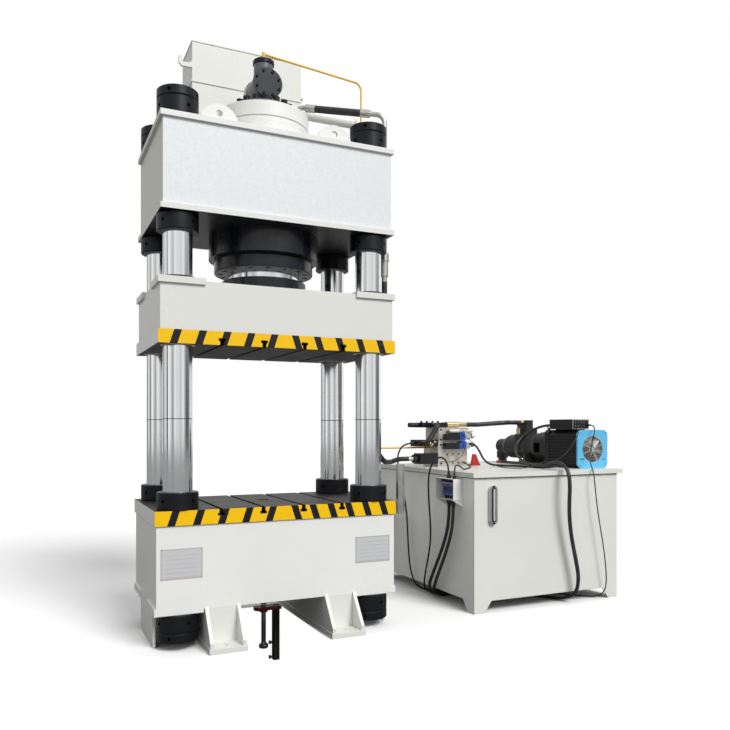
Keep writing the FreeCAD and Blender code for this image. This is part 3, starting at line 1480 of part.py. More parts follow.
def gland_places():
    """Each gland of the junction box: its axis, foot, height and radius."""
    x = unit_left - box_depth / 2
    top = box_bottom + box_height
    low = box_bottom - sleeve_gland_height
    first = box_front + box_gland_inset
    return ((x, first + loop_gland_offset, top, top_gland_height, loop_gland_radius),
            (x - sleeve_gland_offset, first, low, sleeve_gland_height, sleeve_gland_radius),
            (x - sleeve_gland_offset, first + sleeve_gland_pitch, low, sleeve_gland_height,
             sleeve_gland_radius),
            (x, first, top, top_gland_height, spare_gland_radius))


# ---- Cables of the power unit; each runs under the tank to the boot where they join ----

def cable(name, radius, start, lead, points, end_x):
    """Straight out of a gland along the lead, by the chosen points, and straight into the boot."""
    second = tuple(V(*start) + V(*lead))
    end = (end_x, boot_front, radius + cable_floor_gap)
    before = (end_x, boot_front - V(*lead).Length, end[2])
    return tube([start, second] + points + [before, end], radius, name=name)


def rear_cable():
    """From the upper side valve, down the tank's left wall and in under it."""
    x = manifold_x - upper_valve_length
    y = manifold_y + upper_valve_front + upper_valve_depth / 2
    z = lid_top + manifold_height - upper_valve_drop + upper_valve_height / 2
    points = [(1453, 552, 1267), (1463, 559, 1144), (1486, 560, 1022), (1515, 558, 901),
              (1543, 559, 780), (1557, 559, 656), (1560, 554, 533), (1559, 540, 409), (1557, 518, 287),
              (1557, 483, 168), (1581, 435, 57), (1685, 403, 10), (1809, 404, 9), (1928, 436, 9)]
    return cable("rear_cable", rear_cable_radius, (x, y, z), (-104, 0, 0), points, boot_x - 95)


def loop_cable():
    """From the junction box's top gland, looped over and down behind the box."""
    x, y, z, height = gland_places()[0][:4]
    points = [(1538, -107, 1263), (1512, -6, 1229), (1502, 50, 1133), (1504, 72, 1023),
              (1511, 79, 910), (1521, 82, 798), (1533, 87, 686), (1544, 99, 574), (1549, 122, 464),
              (1549, 154, 356), (1548, 191, 249), (1554, 232, 145), (1588, 285, 52), (1678, 331, 11),
              (1789, 354, 9), (1897, 383, 9), (1986, 449, 9)]
    return cable("loop_cable", loop_cable_radius, (x, y, z + height), (0, 0, 92), points, boot_x - 60)


def front_sleeve():
    x, y, z = gland_places()[1][:3]
    points = [(1536, -217, 545), (1538, -123, 385), (1538, -24, 229), (1551, 80, 77), (1692, 156, 15),
              (1865, 222, 15), (2016, 326, 15)]
    return cable("sleeve_cable_front", sleeve_cable_radius, (x, y, z), (0, 0, -160), points, boot_x + 22)


def rear_sleeve():
    x, y, z = gland_places()[2][:3]
    points = [(1535, -152, 554), (1534, -63, 404), (1533, 35, 258), (1541, 134, 115), (1634, 224, 18),
              (1802, 275, 15), (1960, 350, 15)]
    return cable("sleeve_cable_rear", sleeve_cable_radius, (x, y, z), (0, 0, -160), points, boot_x - 20)


def motor_cable():
    """From the terminal box's rear gland round over the lid, down the front and under the tank."""
    x = motor_x - motor_width / 2 + 4 * terminal_gland_inset
    y = terminal_box_front + terminal_box_length + 2 * terminal_gland_reach
    z = motor_z + motor_width / 2 + terminal_box_height / 2
    points = [(2809, 286, 1493), (2731, 367, 1426), (2637, 349, 1337), (2571, 261, 1261),
              (2533, 143, 1209), (2508, 15, 1178), (2490, -118, 1166), (2474, -252, 1169),
              (2464, -383, 1195), (2460, -515, 1219), (2460, -613, 1142), (2461, -626, 1009),
              (2464, -613, 875), (2478, -599, 742), (2502, -590, 610), (2533, -588, 479),
              (2565, -588, 348), (2588, -589, 216), (2585, -558, 87), (2550, -446, 28),
              (2506, -320, 15), (2459, -194, 13), (2408, -69, 13), (2353, 53, 13), (2291, 173, 13),
              (2224, 290, 13), (2167, 412, 13)]
    return cable("motor_cable", motor_cable_radius, (x, y, z), (0, 108, 0), points, boot_x + 64)


def fan_cable():
    """The thin lead from the terminal box past the fan's guard and down the tank's front."""
    x = motor_x - motor_width / 2 + terminal_box_width - terminal_gland_inset
    y = terminal_box_front - terminal_gland_reach
    z = motor_z + motor_width / 2 + terminal_box_height / 2
    points = [(2931, -413, 1487), (2905, -422, 1418), (2887, -419, 1346), (2866, -422, 1275),
              (2838, -451, 1214), (2808, -503, 1171), (2790, -550, 1118), (2789, -564, 1045),
              (2796, -566, 971), (2806, -565, 898), (2818, -564, 824), (2831, -565, 751),
              (2845, -565, 678), (2859, -566, 605), (2874, -567, 533), (2887, -567, 460),
              (2901, -565, 387), (2913, -563, 313), (2924, -559, 240), (2932, -553, 166),
              (2935, -539, 94), (2923, -498, 34), (2890, -438, 9), (2846, -378, 6), (2799, -321, 6),
              (2752, -263, 6), (2705, -206, 6), (2659, -147, 6), (2614, -89, 6), (2569, -29, 6),
              (2526, 31, 6), (2483, 92, 6), (2442, 154, 6), (2401, 216, 6), (2359, 277, 6),
              (2314, 337, 6), (2267, 394, 6), (2223, 453, 6), (2190, 520, 6)]
    return cable("fan_cable", fan_cable_radius, (x, y, z), (0, -60, 0), points, boot_x + 96)


def cable_boot():
    """The moulded boot where the cables join the trunk: wide at the cables, narrow at the trunk."""
    y0, y1 = boot_front, boot_front + boot_length
    wide = boot_width / 2
    narrow = trunk_radius + 10
    outline = [(boot_x - wide, y0, 2), (boot_x + wide, y0, 2), (boot_x + wide, y0 + 40, 2),
               (boot_x + narrow, y1, 2), (boot_x - narrow, y1, 2), (boot_x - wide, y0 + 40, 2)]
    return drawn(outline, (0, 0, boot_height - 2))


def coil_outer():
    return coil_mid_radius + coil_turns_across * trunk_radius


def trunk_cable():
    """From the boot in a half turn to the outside of the coil."""
    start = boot_front + boot_length
    floor = trunk_radius + cable_floor_gap
    out = coil_outer() + trunk_radius + cable_floor_gap
    turn = math.radians(coil_entry_angle)
    end = (coil_x + out * math.cos(turn), coil_y + out * math.sin(turn), floor)
    points = [(2106, 1060, floor), (2232, 1148, floor), (2385, 1119, floor), (2484, 1001, floor)]
    return tube([(boot_x, start, floor), (boot_x, start + 136, floor)] + points + [end], trunk_radius,
                name="trunk_cable")


def trunk_coil():
    """The outer shape of the coiled trunk: a ring as wide and as high as its turns."""
    outer = coil_outer()
    inner = coil_mid_radius - coil_turns_across * trunk_radius
    high = coil_layers * 2 * trunk_radius
    c = trunk_radius * 0.6
    return turned([(inner + c, 0), (outer - c, 0), (outer, c), (outer, high - c), (outer - c, high),
                   (inner + c, high), (inner, high - c), (inner, c)], coil_x, coil_y)


def trunk_plug():
    """The trunk's multi-pole connector, lying against the coil."""
    x1 = coil_x - plug_inset
    x0 = x1 - plug_length
    y1 = coil_y - coil_outer() - 2
    middle = y1 - plug_width / 2
    hood = block(x0, x1, y1 - plug_width, y1, 0, plug_height)
    lip = block(x0 - plug_lip, x0, y1 - plug_width + 4, y1 - 4, 5, plug_height - 5)
    entry = bar(plug_entry_radius, (x1, middle, plug_height / 2),
                (x1 + plug_entry_length, middle, plug_height / 2))
    return joined([hood, lip, entry])


def build():
    return {
        "bed_frame": bed_frame(),
        "bed_table": bed_table(),
        "bed_feet": group([foot(-1), foot(1)]),
        "columns": group([column(x, y) for x, y in column_centres]),
        "crown_frame": crown_frame(),
        "outer_nuts": nuts((pad_bottom - outer_nut_height, crown_top), outer_nut_height, 20),
        "lock_nuts": nuts((column_bottom, crown_top + outer_nut_height), lock_nut_height, 55),
        "inner_nuts": nuts((table_top, crown_bottom - inner_nut_height), inner_nut_height, 35),
        "cylinder_barrel": cylinder_barrel(),
        "ring_flange": ring_flange(),
        "cylinder_head": cylinder_head(),
        "cylinder_bolts": cylinder_bolts(),
        "gland_ring": gland_ring(),
        "ram": ram(),
        "ram_flange": ram_flange(),
        "ram_bolts": ram_bolts(),
        "prefill_body": prefill_body(),
        "prefill_covers": prefill_covers(),
        "prefill_poppet": prefill_poppet(),
        "filling_tank": filling_tank(),
        "slide_frame": slide_frame(),
        "slide_table": slide_table(),
        "guide_bushes": guide_bushes(),
        "wiper_rings": wiper_rings(),
        "ejector_cylinder": ejector_cylinder(),
        "ejector_rod": ejector_rod(),
        "ejector_plate": ejector_plate(),
        "dog_bar": dog_bar(),
        "guard_rail": guard_rail(),
        "pilot_pipe": pilot_pipe(),
        "overflow_pipe": overflow_pipe(),
        "pressure_pipe": pressure_pipe(),
        "press_hoses": press_hoses(),
        "tank_body": tank_body(),
        "tank_lid": tank_lid(),
        "level_gauge": level_gauge(),
        "motor_housing": motor_housing(),
        "fan_cover": fan_cover(),
        "motor_fan": motor_fan(),
        "terminal_box": terminal_box(),
        "bell_housing": bell_housing(),
        "drive_coupling": drive_coupling(),
        "pump": pump(),
        "pump_rails": pump_rails(),
        "manifold_block": manifold_block(),
        "cartridge_block": cartridge_block(),
        "valve_stack": valve_stack(),
        "solenoids": solenoids(),
        "unit_hoses": unit_hoses(),
        "junction_box": junction_box(),
        "rear_cable": rear_cable(),
        "loop_cable": loop_cable(),
        "sleeve_cable_front": front_sleeve(),
        "sleeve_cable_rear": rear_sleeve(),
        "motor_cable": motor_cable(),
        "fan_cable": fan_cable(),
        "cable_boot": cable_boot(),
        "trunk_cable": trunk_cable(),
        "trunk_coil": trunk_coil(),
        "trunk_plug": trunk_plug(),
    }


os.makedirs("parts", exist_ok=True)
for node, shape in build().items():
    shape.exportStep("parts/%s.step" % node)
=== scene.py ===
import math

import bmesh
import bpy
import numpy as np
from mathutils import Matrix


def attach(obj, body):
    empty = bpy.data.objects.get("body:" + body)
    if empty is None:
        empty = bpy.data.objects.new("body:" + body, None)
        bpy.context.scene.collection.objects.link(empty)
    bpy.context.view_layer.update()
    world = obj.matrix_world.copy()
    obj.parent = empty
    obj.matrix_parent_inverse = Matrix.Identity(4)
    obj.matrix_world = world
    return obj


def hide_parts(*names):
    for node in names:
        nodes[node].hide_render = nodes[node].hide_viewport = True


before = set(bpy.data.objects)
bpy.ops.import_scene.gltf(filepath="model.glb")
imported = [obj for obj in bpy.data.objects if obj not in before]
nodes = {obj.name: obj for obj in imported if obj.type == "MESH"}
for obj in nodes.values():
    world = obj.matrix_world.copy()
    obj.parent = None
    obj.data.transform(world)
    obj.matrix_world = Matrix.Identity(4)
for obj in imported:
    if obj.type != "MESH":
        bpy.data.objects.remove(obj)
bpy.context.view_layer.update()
print("loaded", len(nodes), "nodes")

# What a user would change first, in metres; the turn is in degrees and the lens in millimetres
camera = {"place": (-1.676, -5.464, 1.507), "turn": -24.937, "lens": 36.12, "shift": 0.0855}
white = (0.795, 0.80, 0.765)  # the press's paint
yellow = (0.90, 0.53, 0.0)  # hazard stripes
ink = (0.005, 0.006, 0.008)
stripes = {"width": 0.052, "lean": 0.33, "middleGap": 0.02}  # lean is the sideways step per metre of height
bedStripes = {"left": (-0.093, 0.170), "right": (0.097, 0.139), "middle": 0.8975}  # first centre, pitch
slideStripes = {"left": (-0.088, 0.1685), "right": (0.093, 0.167), "middle": 2.116}
motorAxis = (2.953, 1.312)  # x and z; the motor and pump lie along y


# Camera and view

def addCamera(spec):
    data = bpy.data.cameras.new("camera")
    data.lens = spec["lens"]
    data.sensor_width = 36
    data.shift_y = spec["shift"]
    data.clip_end = 200
    made = bpy.data.objects.new("camera", data)
    made.location = spec["place"]
    made.rotation_euler = (math.radians(90), 0, math.radians(spec["turn"]))
    bpy.context.scene.collection.objects.link(made)
    bpy.context.scene.camera = made


addCamera(camera)
bpy.context.scene.view_settings.view_transform = "Standard"


# Materials

class Wire:  # a shader socket that can be added, multiplied and compared
    def __init__(self, tree, socket=None):
        self.tree = tree
        self.socket = socket

    def node(self, kind, settings=None, values=None, out=0):  # any other node: type, settings, inputs
        made = self.tree.nodes.new(kind)
        for key, value in (settings or {}).items():
            setattr(made, key, value)
        for key, value in (values or {}).items():
            self.feed(made.inputs[key], value)
        return Wire(self.tree, made.outputs[out])

    def feed(self, target, value):
        if isinstance(value, Wire):
            self.tree.links.new(value.socket, target)
        elif isinstance(value, (tuple, list)) and target.type == "RGBA":
            target.default_value = (*value[:3], 1.0)
        else:
            target.default_value = value

    def maths(self, operation, *values):
        return self.node("ShaderNodeMath", {"operation": operation}, dict(enumerate(values)))

    def __add__(self, other):
        return self.maths("ADD", self, other)

    def __radd__(self, other):
        return self.maths("ADD", other, self)

    def __sub__(self, other):
        return self.maths("SUBTRACT", self, other)

    def __rsub__(self, other):
        return self.maths("SUBTRACT", other, self)

    def __mul__(self, other):
        return self.maths("MULTIPLY", self, other)

    def __rmul__(self, other):
        return self.maths("MULTIPLY", other, self)

    def __truediv__(self, other):
        return self.maths("DIVIDE", self, other)

    def __rtruediv__(self, other):
        return self.maths("DIVIDE", other, self)

    def __pow__(self, other):
        return self.maths("POWER", self, other)

    def __gt__(self, other):
        return self.maths("GREATER_THAN", self, other)

    def __lt__(self, other):
        return self.maths("LESS_THAN", self, other)

    def __mod__(self, other):
        return self.maths("FLOORED_MODULO", self, other)

    def __abs__(self):
        return self.maths("ABSOLUTE", self)

    def ramp(self, low, high, start=0.0, end=1.0):  # a smooth step from start to end, between low and high
        values = {"Value": self, "From Min": low, "From Max": high, "To Min": start, "To Max": end}
        return self.node("ShaderNodeMapRange", {"interpolation_type": "SMOOTHSTEP"}, values)

    def mix(self, a, b):  # colours a to b, by this factor
        return self.node("ShaderNodeMix", {"data_type": "RGBA"}, {0: self, 6: a, 7: b}, out=2)

    def scaled(self, vector, scale):  # a vector times a vector
        return self.node("ShaderNodeVectorMath", {"operation": "MULTIPLY"}, {0: vector, 1: scale})

    def noise(self, place, scale, detail, rough=0.55):
        values = {"Vector": place, "Scale": scale, "Detail": detail, "Roughness": rough}
        return self.node("ShaderNodeTexNoise", {"noise_dimensions": "3D"}, values)

    def parts(self, place):  # x, y and z of a vector
        split = self.node("ShaderNodeSeparateXYZ", None, {0: place})
        return [Wire(self.tree, output) for output in split.socket.node.outputs]

    def inside(self, place, low, high):  # 1 inside a box, by the distance from its centre
        total = None
        for value, least, most in zip(self.parts(place), low, high):
            near = abs(value - (least + most) / 2) < (most - least) / 2
            total = near if total is None else total * near
        return total


def material(name, constants):
    made = bpy.data.materials.new(name)
    made.use_nodes = True
    tree = made.node_tree
    shader = tree.nodes["Principled BSDF"]
    for key, value in constants.items():
        shader.inputs[key].default_value = value
    start = Wire(tree)
    place = start.node("ShaderNodeTexCoord", out=3)
    return made, shader, start, place


def rounded(start, radius, bump, strength, distance):  # softened edges, with a bump on top
    edge = start.node("ShaderNodeBevel", {"samples": 4}, {"Radius": radius})
    values = {"Strength": strength, "Distance": distance, "Height": bump, "Normal": edge}
    return start.node("ShaderNodeBump", None, values)


def shades(colour, spread):  # a colour's darker and lighter neighbours
    return tuple(c * (1 - spread) for c in colour), tuple(min(1.0, c * (1 + spread)) for c in colour)


def paint(name, colour, roughness=0.38, dirt=0.06, edge=0.004, gloss=0.5,
          dirtColour=(0.30, 0.27, 0.22), second=None, below=None, above=None, waves=0.0, colourPatchesAndPaintedLight=(),
          sides=None):
    made, shader, start, place = material(name, {"Specular IOR Level": gloss, "Coat Weight": 0.08})
    across, _, height = start.parts(place)
    broad = start.noise(place, scale=1.7, detail=4)
    fine = start.noise(place, scale=34.0, detail=5, rough=0.7)
    low = height.ramp(0.5, -0.05)  # more dirt near the floor
    smear = (broad * fine * 2.2).ramp(0.62, 0.95) * dirt + low * fine * dirt * 0.5
    dark, light = shades(colour, 0.02)
    soft = broad.ramp(0.3, 0.7).mix(dark, light)
    if second:  # a second coat below or above a height
        other = (height < below) if below else (height > above)
        soft = other.mix(soft, fine.mix(*shades(second, 0.15)))
    for lowCorner, highCorner, patch in colourPatchesAndPaintedLight:  # boxes in another colour: real colour patches, and painted light and shade on some faces
        soft = start.inside(place, lowCorner, highCorner).mix(soft, fine.mix(*shades(patch, 0.15)))
    if sides:  # painted shade: darker plates at the ends
        soft = (abs(across) > sides[0]).mix(soft, sides[1])
    start.feed(shader.inputs["Base Color"], smear.mix(soft, dirtColour))
    start.feed(shader.inputs["Roughness"], roughness + (fine - 0.5) * 0.14 + smear * 0.3)
    skin = start.noise(place, scale=420.0, detail=2) * 0.3 + fine * 0.5
    if waves:  # plate that isn't quite flat
        skin = skin + start.noise(place, scale=5.0, detail=3) * waves
    start.feed(shader.inputs["Normal"], rounded(start, edge, skin, strength=0.12, distance=0.002))
    return made


def oxide(name, colour, roughness=0.42, lathed=True):  # blackened or machined steel
    made, shader, start, place = material(name, {"Metallic": 0.6, "Specular IOR Level": 0.5})
    broad = start.noise(place, scale=6.0, detail=5)
    stretched = start.scaled(place, (1.0, 1.0, 60.0))
    turning = start.noise(stretched, scale=9.0, detail=3) if lathed else broad
    scuff = start.noise(place, scale=60.0, detail=6, rough=0.75).ramp(0.62, 0.8) * 0.18
    start.feed(shader.inputs["Base Color"], scuff.mix(broad.mix(*shades(colour, 0.35)), (0.20, 0.20, 0.20)))
    start.feed(shader.inputs["Roughness"], roughness + (turning - 0.5) * 0.2 + broad * 0.08)
    start.feed(shader.inputs["Normal"], rounded(start, 0.003, turning, strength=0.08, distance=0.0005))
    return made


def bareSteel(name, colour, roughness=0.3, oil=0.3, metallic=1.0):
    made, shader, start, place = material(name, {"Metallic": metallic})
    brushed = start.noise(place, scale=90.0, detail=4)
    stain = start.noise(place, scale=11.0, detail=5, rough=0.65).ramp(0.45, 0.75) * oil
    metal = brushed.mix(*shades(colour, 0.1))
    start.feed(shader.inputs["Base Color"], stain.mix(metal, (0.10, 0.075, 0.05)))
    start.feed(shader.inputs["Roughness"], roughness + (brushed - 0.5) * 0.18 + stain * 0.15)
    start.feed(shader.inputs["Normal"], rounded(start, 0.0015, brushed, strength=0.06, distance=0.0004))
    return made


def chrome(name, seams):  # hard chrome, with thin dark rings at the seams' heights
    made, shader, start, place = material(name, {"Metallic": 1.0})
    height = start.parts(place)[2]
    streak = start.noise(start.scaled(place, (1.0, 1.0, 0.02)), scale=14.0, detail=2)
    film = start.noise(place, scale=3.0, detail=5, rough=0.6).ramp(0.45, 0.8)
    colour = (film * 0.15).mix((0.86, 0.87, 0.88), (0.66, 0.65, 0.62))
    for seam in seams:
        ring = abs(height - (seam + (streak - 0.5) * 0.002)) < 0.0022
        colour = (ring * 0.7).mix(colour, (0.06, 0.06, 0.06))
    start.feed(shader.inputs["Base Color"], colour)
    start.feed(shader.inputs["Roughness"], 0.09 + streak * 0.04 + film * 0.05)
    start.feed(shader.inputs["Normal"], rounded(start, 0.002, streak, strength=0.02, distance=0.0004))
    return made


def plastic(name, colour, roughness=0.5, grainScale=300.0, strength=0.15, fittings=(),
            metal=(0.72, 0.58, 0.34)):
    made, shader, start, place = material(name, {"Specular IOR Level": 0.5})
    grain = start.noise(place, scale=grainScale, detail=3)
    dust = start.noise(place, scale=8.0, detail=5, rough=0.7).ramp(0.5, 0.9) * 0.12
    base = dust.mix(colour, (0.35, 0.33, 0.30))
    rough = roughness + (grain - 0.5) * 0.2 + dust
    metallic = None
    for low, high in fittings:  # boxes round the metal ends
        here = start.inside(place, low, high)
        base = here.mix(base, grain.mix(*shades(metal, 0.12)))
        metallic = here if metallic is None else metallic + here
    if metallic is not None:
        start.feed(shader.inputs["Metallic"], metallic.maths("MINIMUM", metallic, 1.0))
        rough = rough - metallic * 0.15
    start.feed(shader.inputs["Base Color"], base)
    start.feed(shader.inputs["Roughness"], rough)
    start.feed(shader.inputs["Normal"], rounded(start, 0.0015, grain, strength, distance=0.0004))
    return made


def castIron(name, colour):
    made, shader, start, place = material(name, {"Metallic": 0.1, "Specular IOR Level": 0.45})
    pits = start.noise(place, scale=190.0, detail=5, rough=0.7)
    broad = start.noise(place, scale=9.0, detail=4)
    skin = broad.mix(*shades(colour, 0.2))
    start.feed(shader.inputs["Base Color"], (pits * 0.15).mix(skin, (0.10, 0.09, 0.08)))
    start.feed(shader.inputs["Roughness"], 0.48 + (pits - 0.5) * 0.3)
    start.feed(shader.inputs["Normal"], rounded(start, 0.004, pits, strength=0.35, distance=0.0008))
    return made


def guardedCover(name, colour):  # blue paint, and bright wire inside the opening
    made, shader, start, place = material(name, {"Specular IOR Level": 0.5})
    x, _, z = start.parts(place)
    away = ((x - motorAxis[0]) ** 2.0 + (z - motorAxis[1]) ** 2.0) ** 0.5
    wire = away < guardRadius
    fine = start.noise(place, scale=40.0, detail=5, rough=0.7)
    edge = away.ramp(guardRadius, guardRadius + 0.03, 0.55, 1.0)
    coat = edge.mix((0.25, 0.45, 0.55), fine.mix(*shades(colour, 0.04)))
    start.feed(shader.inputs["Base Color"], wire.mix(coat, (0.70, 0.71, 0.70)))
    start.feed(shader.inputs["Metallic"], wire * 0.9)
    start.feed(shader.inputs["Roughness"], 0.36 + (fine - 0.5) * 0.12 - wire * 0.1)
    start.feed(shader.inputs["Normal"], rounded(start, 0.002, fine, strength=0.08, distance=0.0005))
    return made


def tablePlate(name, spec, faceY, sideX):  # striped front, painted sides, oily steel elsewhere
    made, shader, start, place = material(name, {"Specular IOR Level": 0.3})
    x, y, z = start.parts(place)
    skin = 0.0005  # how deep the paint's colour reaches into the plate
    front = y < (faceY + skin)
    side = abs(x) > (sideX - skin)
    fine = start.noise(place, scale=38.0, detail=5, rough=0.7)
    broad = start.noise(place, scale=5.0, detail=5, rough=0.65)

    def band(first, pitch, direction):  # 1 inside a leaning black stripe
        along = x - first - direction * (z - spec["middle"]) * stripes["lean"]
        offset = abs((along + pitch / 2) % pitch - pitch / 2)
        return offset < stripes["width"] / 2

    leftBand = band(*spec["left"], 1) * (x < -stripes["middleGap"])
    rightBand = band(*spec["right"], -1) * (x > stripes["middleGap"])
    striped = (leftBand + rightBand).mix(yellow, ink)
    grime = (fine * broad * 2.0).ramp(0.6, 0.95) * 0.2
    painted = grime.mix(front.mix(white, striped), (0.12, 0.10, 0.07))
    rust = broad.ramp(0.5, 0.75).mix((0.022, 0.020, 0.018), (0.055, 0.040, 0.026))
    plate = fine.ramp(0.35, 0.75).mix(rust, (0.013, 0.012, 0.011))
    coated = start.maths("MINIMUM", front + side, 1.0)
    start.feed(shader.inputs["Base Color"], coated.mix(plate, painted))
    start.feed(shader.inputs["Metallic"], (1 - coated) * 0.15)
    worn = (1 - coated) * (0.42 + broad * 0.22)
    start.feed(shader.inputs["Roughness"], coated * 0.38 + worn + (fine - 0.5) * 0.12)
    start.feed(shader.inputs["Normal"], rounded(start, 0.003, fine, strength=0.12, distance=0.0006))
    return made


# Shares of a plate: where its border starts from the middle, its rules' half width, reach and top
fields = {"sideBorder": 0.465, "endBorder": 0.45, "rows": 7.0, "ruleWidth": 0.05, "reach": 0.40, "top": 0.80}


def dataPlate(name, spec):  # a bare aluminium plate: a border and ruled fields with nothing in them
    made, shader, start, place = material(name, {"Metallic": 0.35})
    x, _, z = start.parts(place)
    across = (x - spec["low"][0]) / (spec["high"][0] - spec["low"][0])
    up = (z - spec["low"][1]) / (spec["high"][1] - spec["low"][1])
    border = (abs(across - 0.5) > fields["sideBorder"]) + (abs(up - 0.5) > fields["endBorder"])
    row = abs((up * fields["rows"]) % 1.0 - 0.5) < fields["ruleWidth"]
    rule = row * (abs(across - 0.5) < fields["reach"]) * (up < fields["top"])
    grain = start.noise(start.scaled(place, (1.0, 1.0, 40.0)), scale=30.0, detail=4)
    lines = start.maths("MINIMUM", border * 0.25 + rule * 0.35, 1.0)
    metal = grain.mix((0.60, 0.61, 0.62), (0.72, 0.73, 0.74))
    start.feed(shader.inputs["Base Color"], lines.mix(metal, spec["rule"]))
    start.feed(shader.inputs["Roughness"], 0.38 + (grain - 0.5) * 0.2)
    start.feed(shader.inputs["Normal"], rounded(start, 0.0008, grain, strength=0.05, distance=0.0003))
    return made


black = (0.006, 0.007, 0.010)
red = (0.42, 0.020, 0.014)
plates = {
    "instructionPlate": {"low": (-0.857, 0.487), "high": (-0.577, 0.694), "rule": (0.42, 0.14, 0.13)},
    "dataPlate": {"low": (0.563, 0.494), "high": (0.846, 0.690), "rule": (0.12, 0.12, 0.13)},
}
tankLitSideAndBreather = (((1.60, -0.48, 0.0), (1.606, 1.2, 1.1), (0.92, 0.92, 0.86)),  # painted light: the left plate lighter than the rest of the tank
             ((2.94, 1.03, 1.1405), (3.12, 1.21, 1.27), black))  # the breather
boxAreas = (((1.519, -0.298, 0.878), (1.569, -0.183, 0.9058), black),  # the glands
            ((1.568, -0.314, 0.974), (1.5995, -0.071, 1.0125), (0.05, 0.05, 0.055)),  # the rail
            ((1.5962, -0.3285, 0.9095), (1.6035, -0.0565, 1.0775), (0.03, 0.032, 0.04)))  # the back wall
railAreas = (((2.20, 0.0, 1.13), (2.42, 0.9, 1.30), red), ((2.42, 0.80, 1.13), (3.2, 0.9, 1.30), red))
shadedEndWhite = (0.53, 0.535, 0.46)  # painted shade: the crown's end plates darker than its front
frontWhite = (0.735, 0.765, 0.77)  # and the front is cooler
# painted shade on the crown's end plates, and a cooler white on its front
crownShadedEndsAndFront = (((-0.8475, -0.5035, 2.97), (-0.8450, 0.5035, 3.60), shadedEndWhite),
               ((0.8450, -0.5035, 2.97), (0.8475, 0.5035, 3.60), shadedEndWhite),
               ((-0.8465, -0.5055, 2.97), (0.8465, -0.5030, 3.60), frontWhite))
crownUnderside = 2.9628
crownSeat = 3.6155  # the cylinder is white above it and black below
shadedCrownEnds = (0.8625, shadedEndWhite)  # painted shade on the flanges' ends
bedFront = -0.480
columnSeams = (1.565, 1.567)
guardRadius = 0.1165  # of the fan cover's opening, with its wire rings
tableEdges = {"bed": (-0.4905, 0.8955), "slide": (-0.512, 0.878)}  # front face and side faces
blackCoat = {"gloss": 0.4, "dirtColour": (0.03, 0.03, 0.03)}
rubberSkin = {"grainScale": 160.0, "strength": 0.2}
ferrules = (((1.95, 0.4, 1.45), (2.19, 0.7, 1.62)), ((2.83, 0.54, 1.435), (2.89, 0.65, 1.50)),
            ((2.87, 0.54, 1.50), (2.93, 0.65, 1.60)), ((1.55, 0.43, 1.34), (1.72, 0.475, 1.39)))
hoseEnds = (((0.80, -0.35, 2.66), (0.99, -0.18, 2.83)), ((1.545, 0.45, 1.16), (1.60, 0.60, 1.27)))
coilTubes = (((2.098, 0.3, 1.2), (2.30, 0.6, 1.6)),)  # the solenoids' steel ends
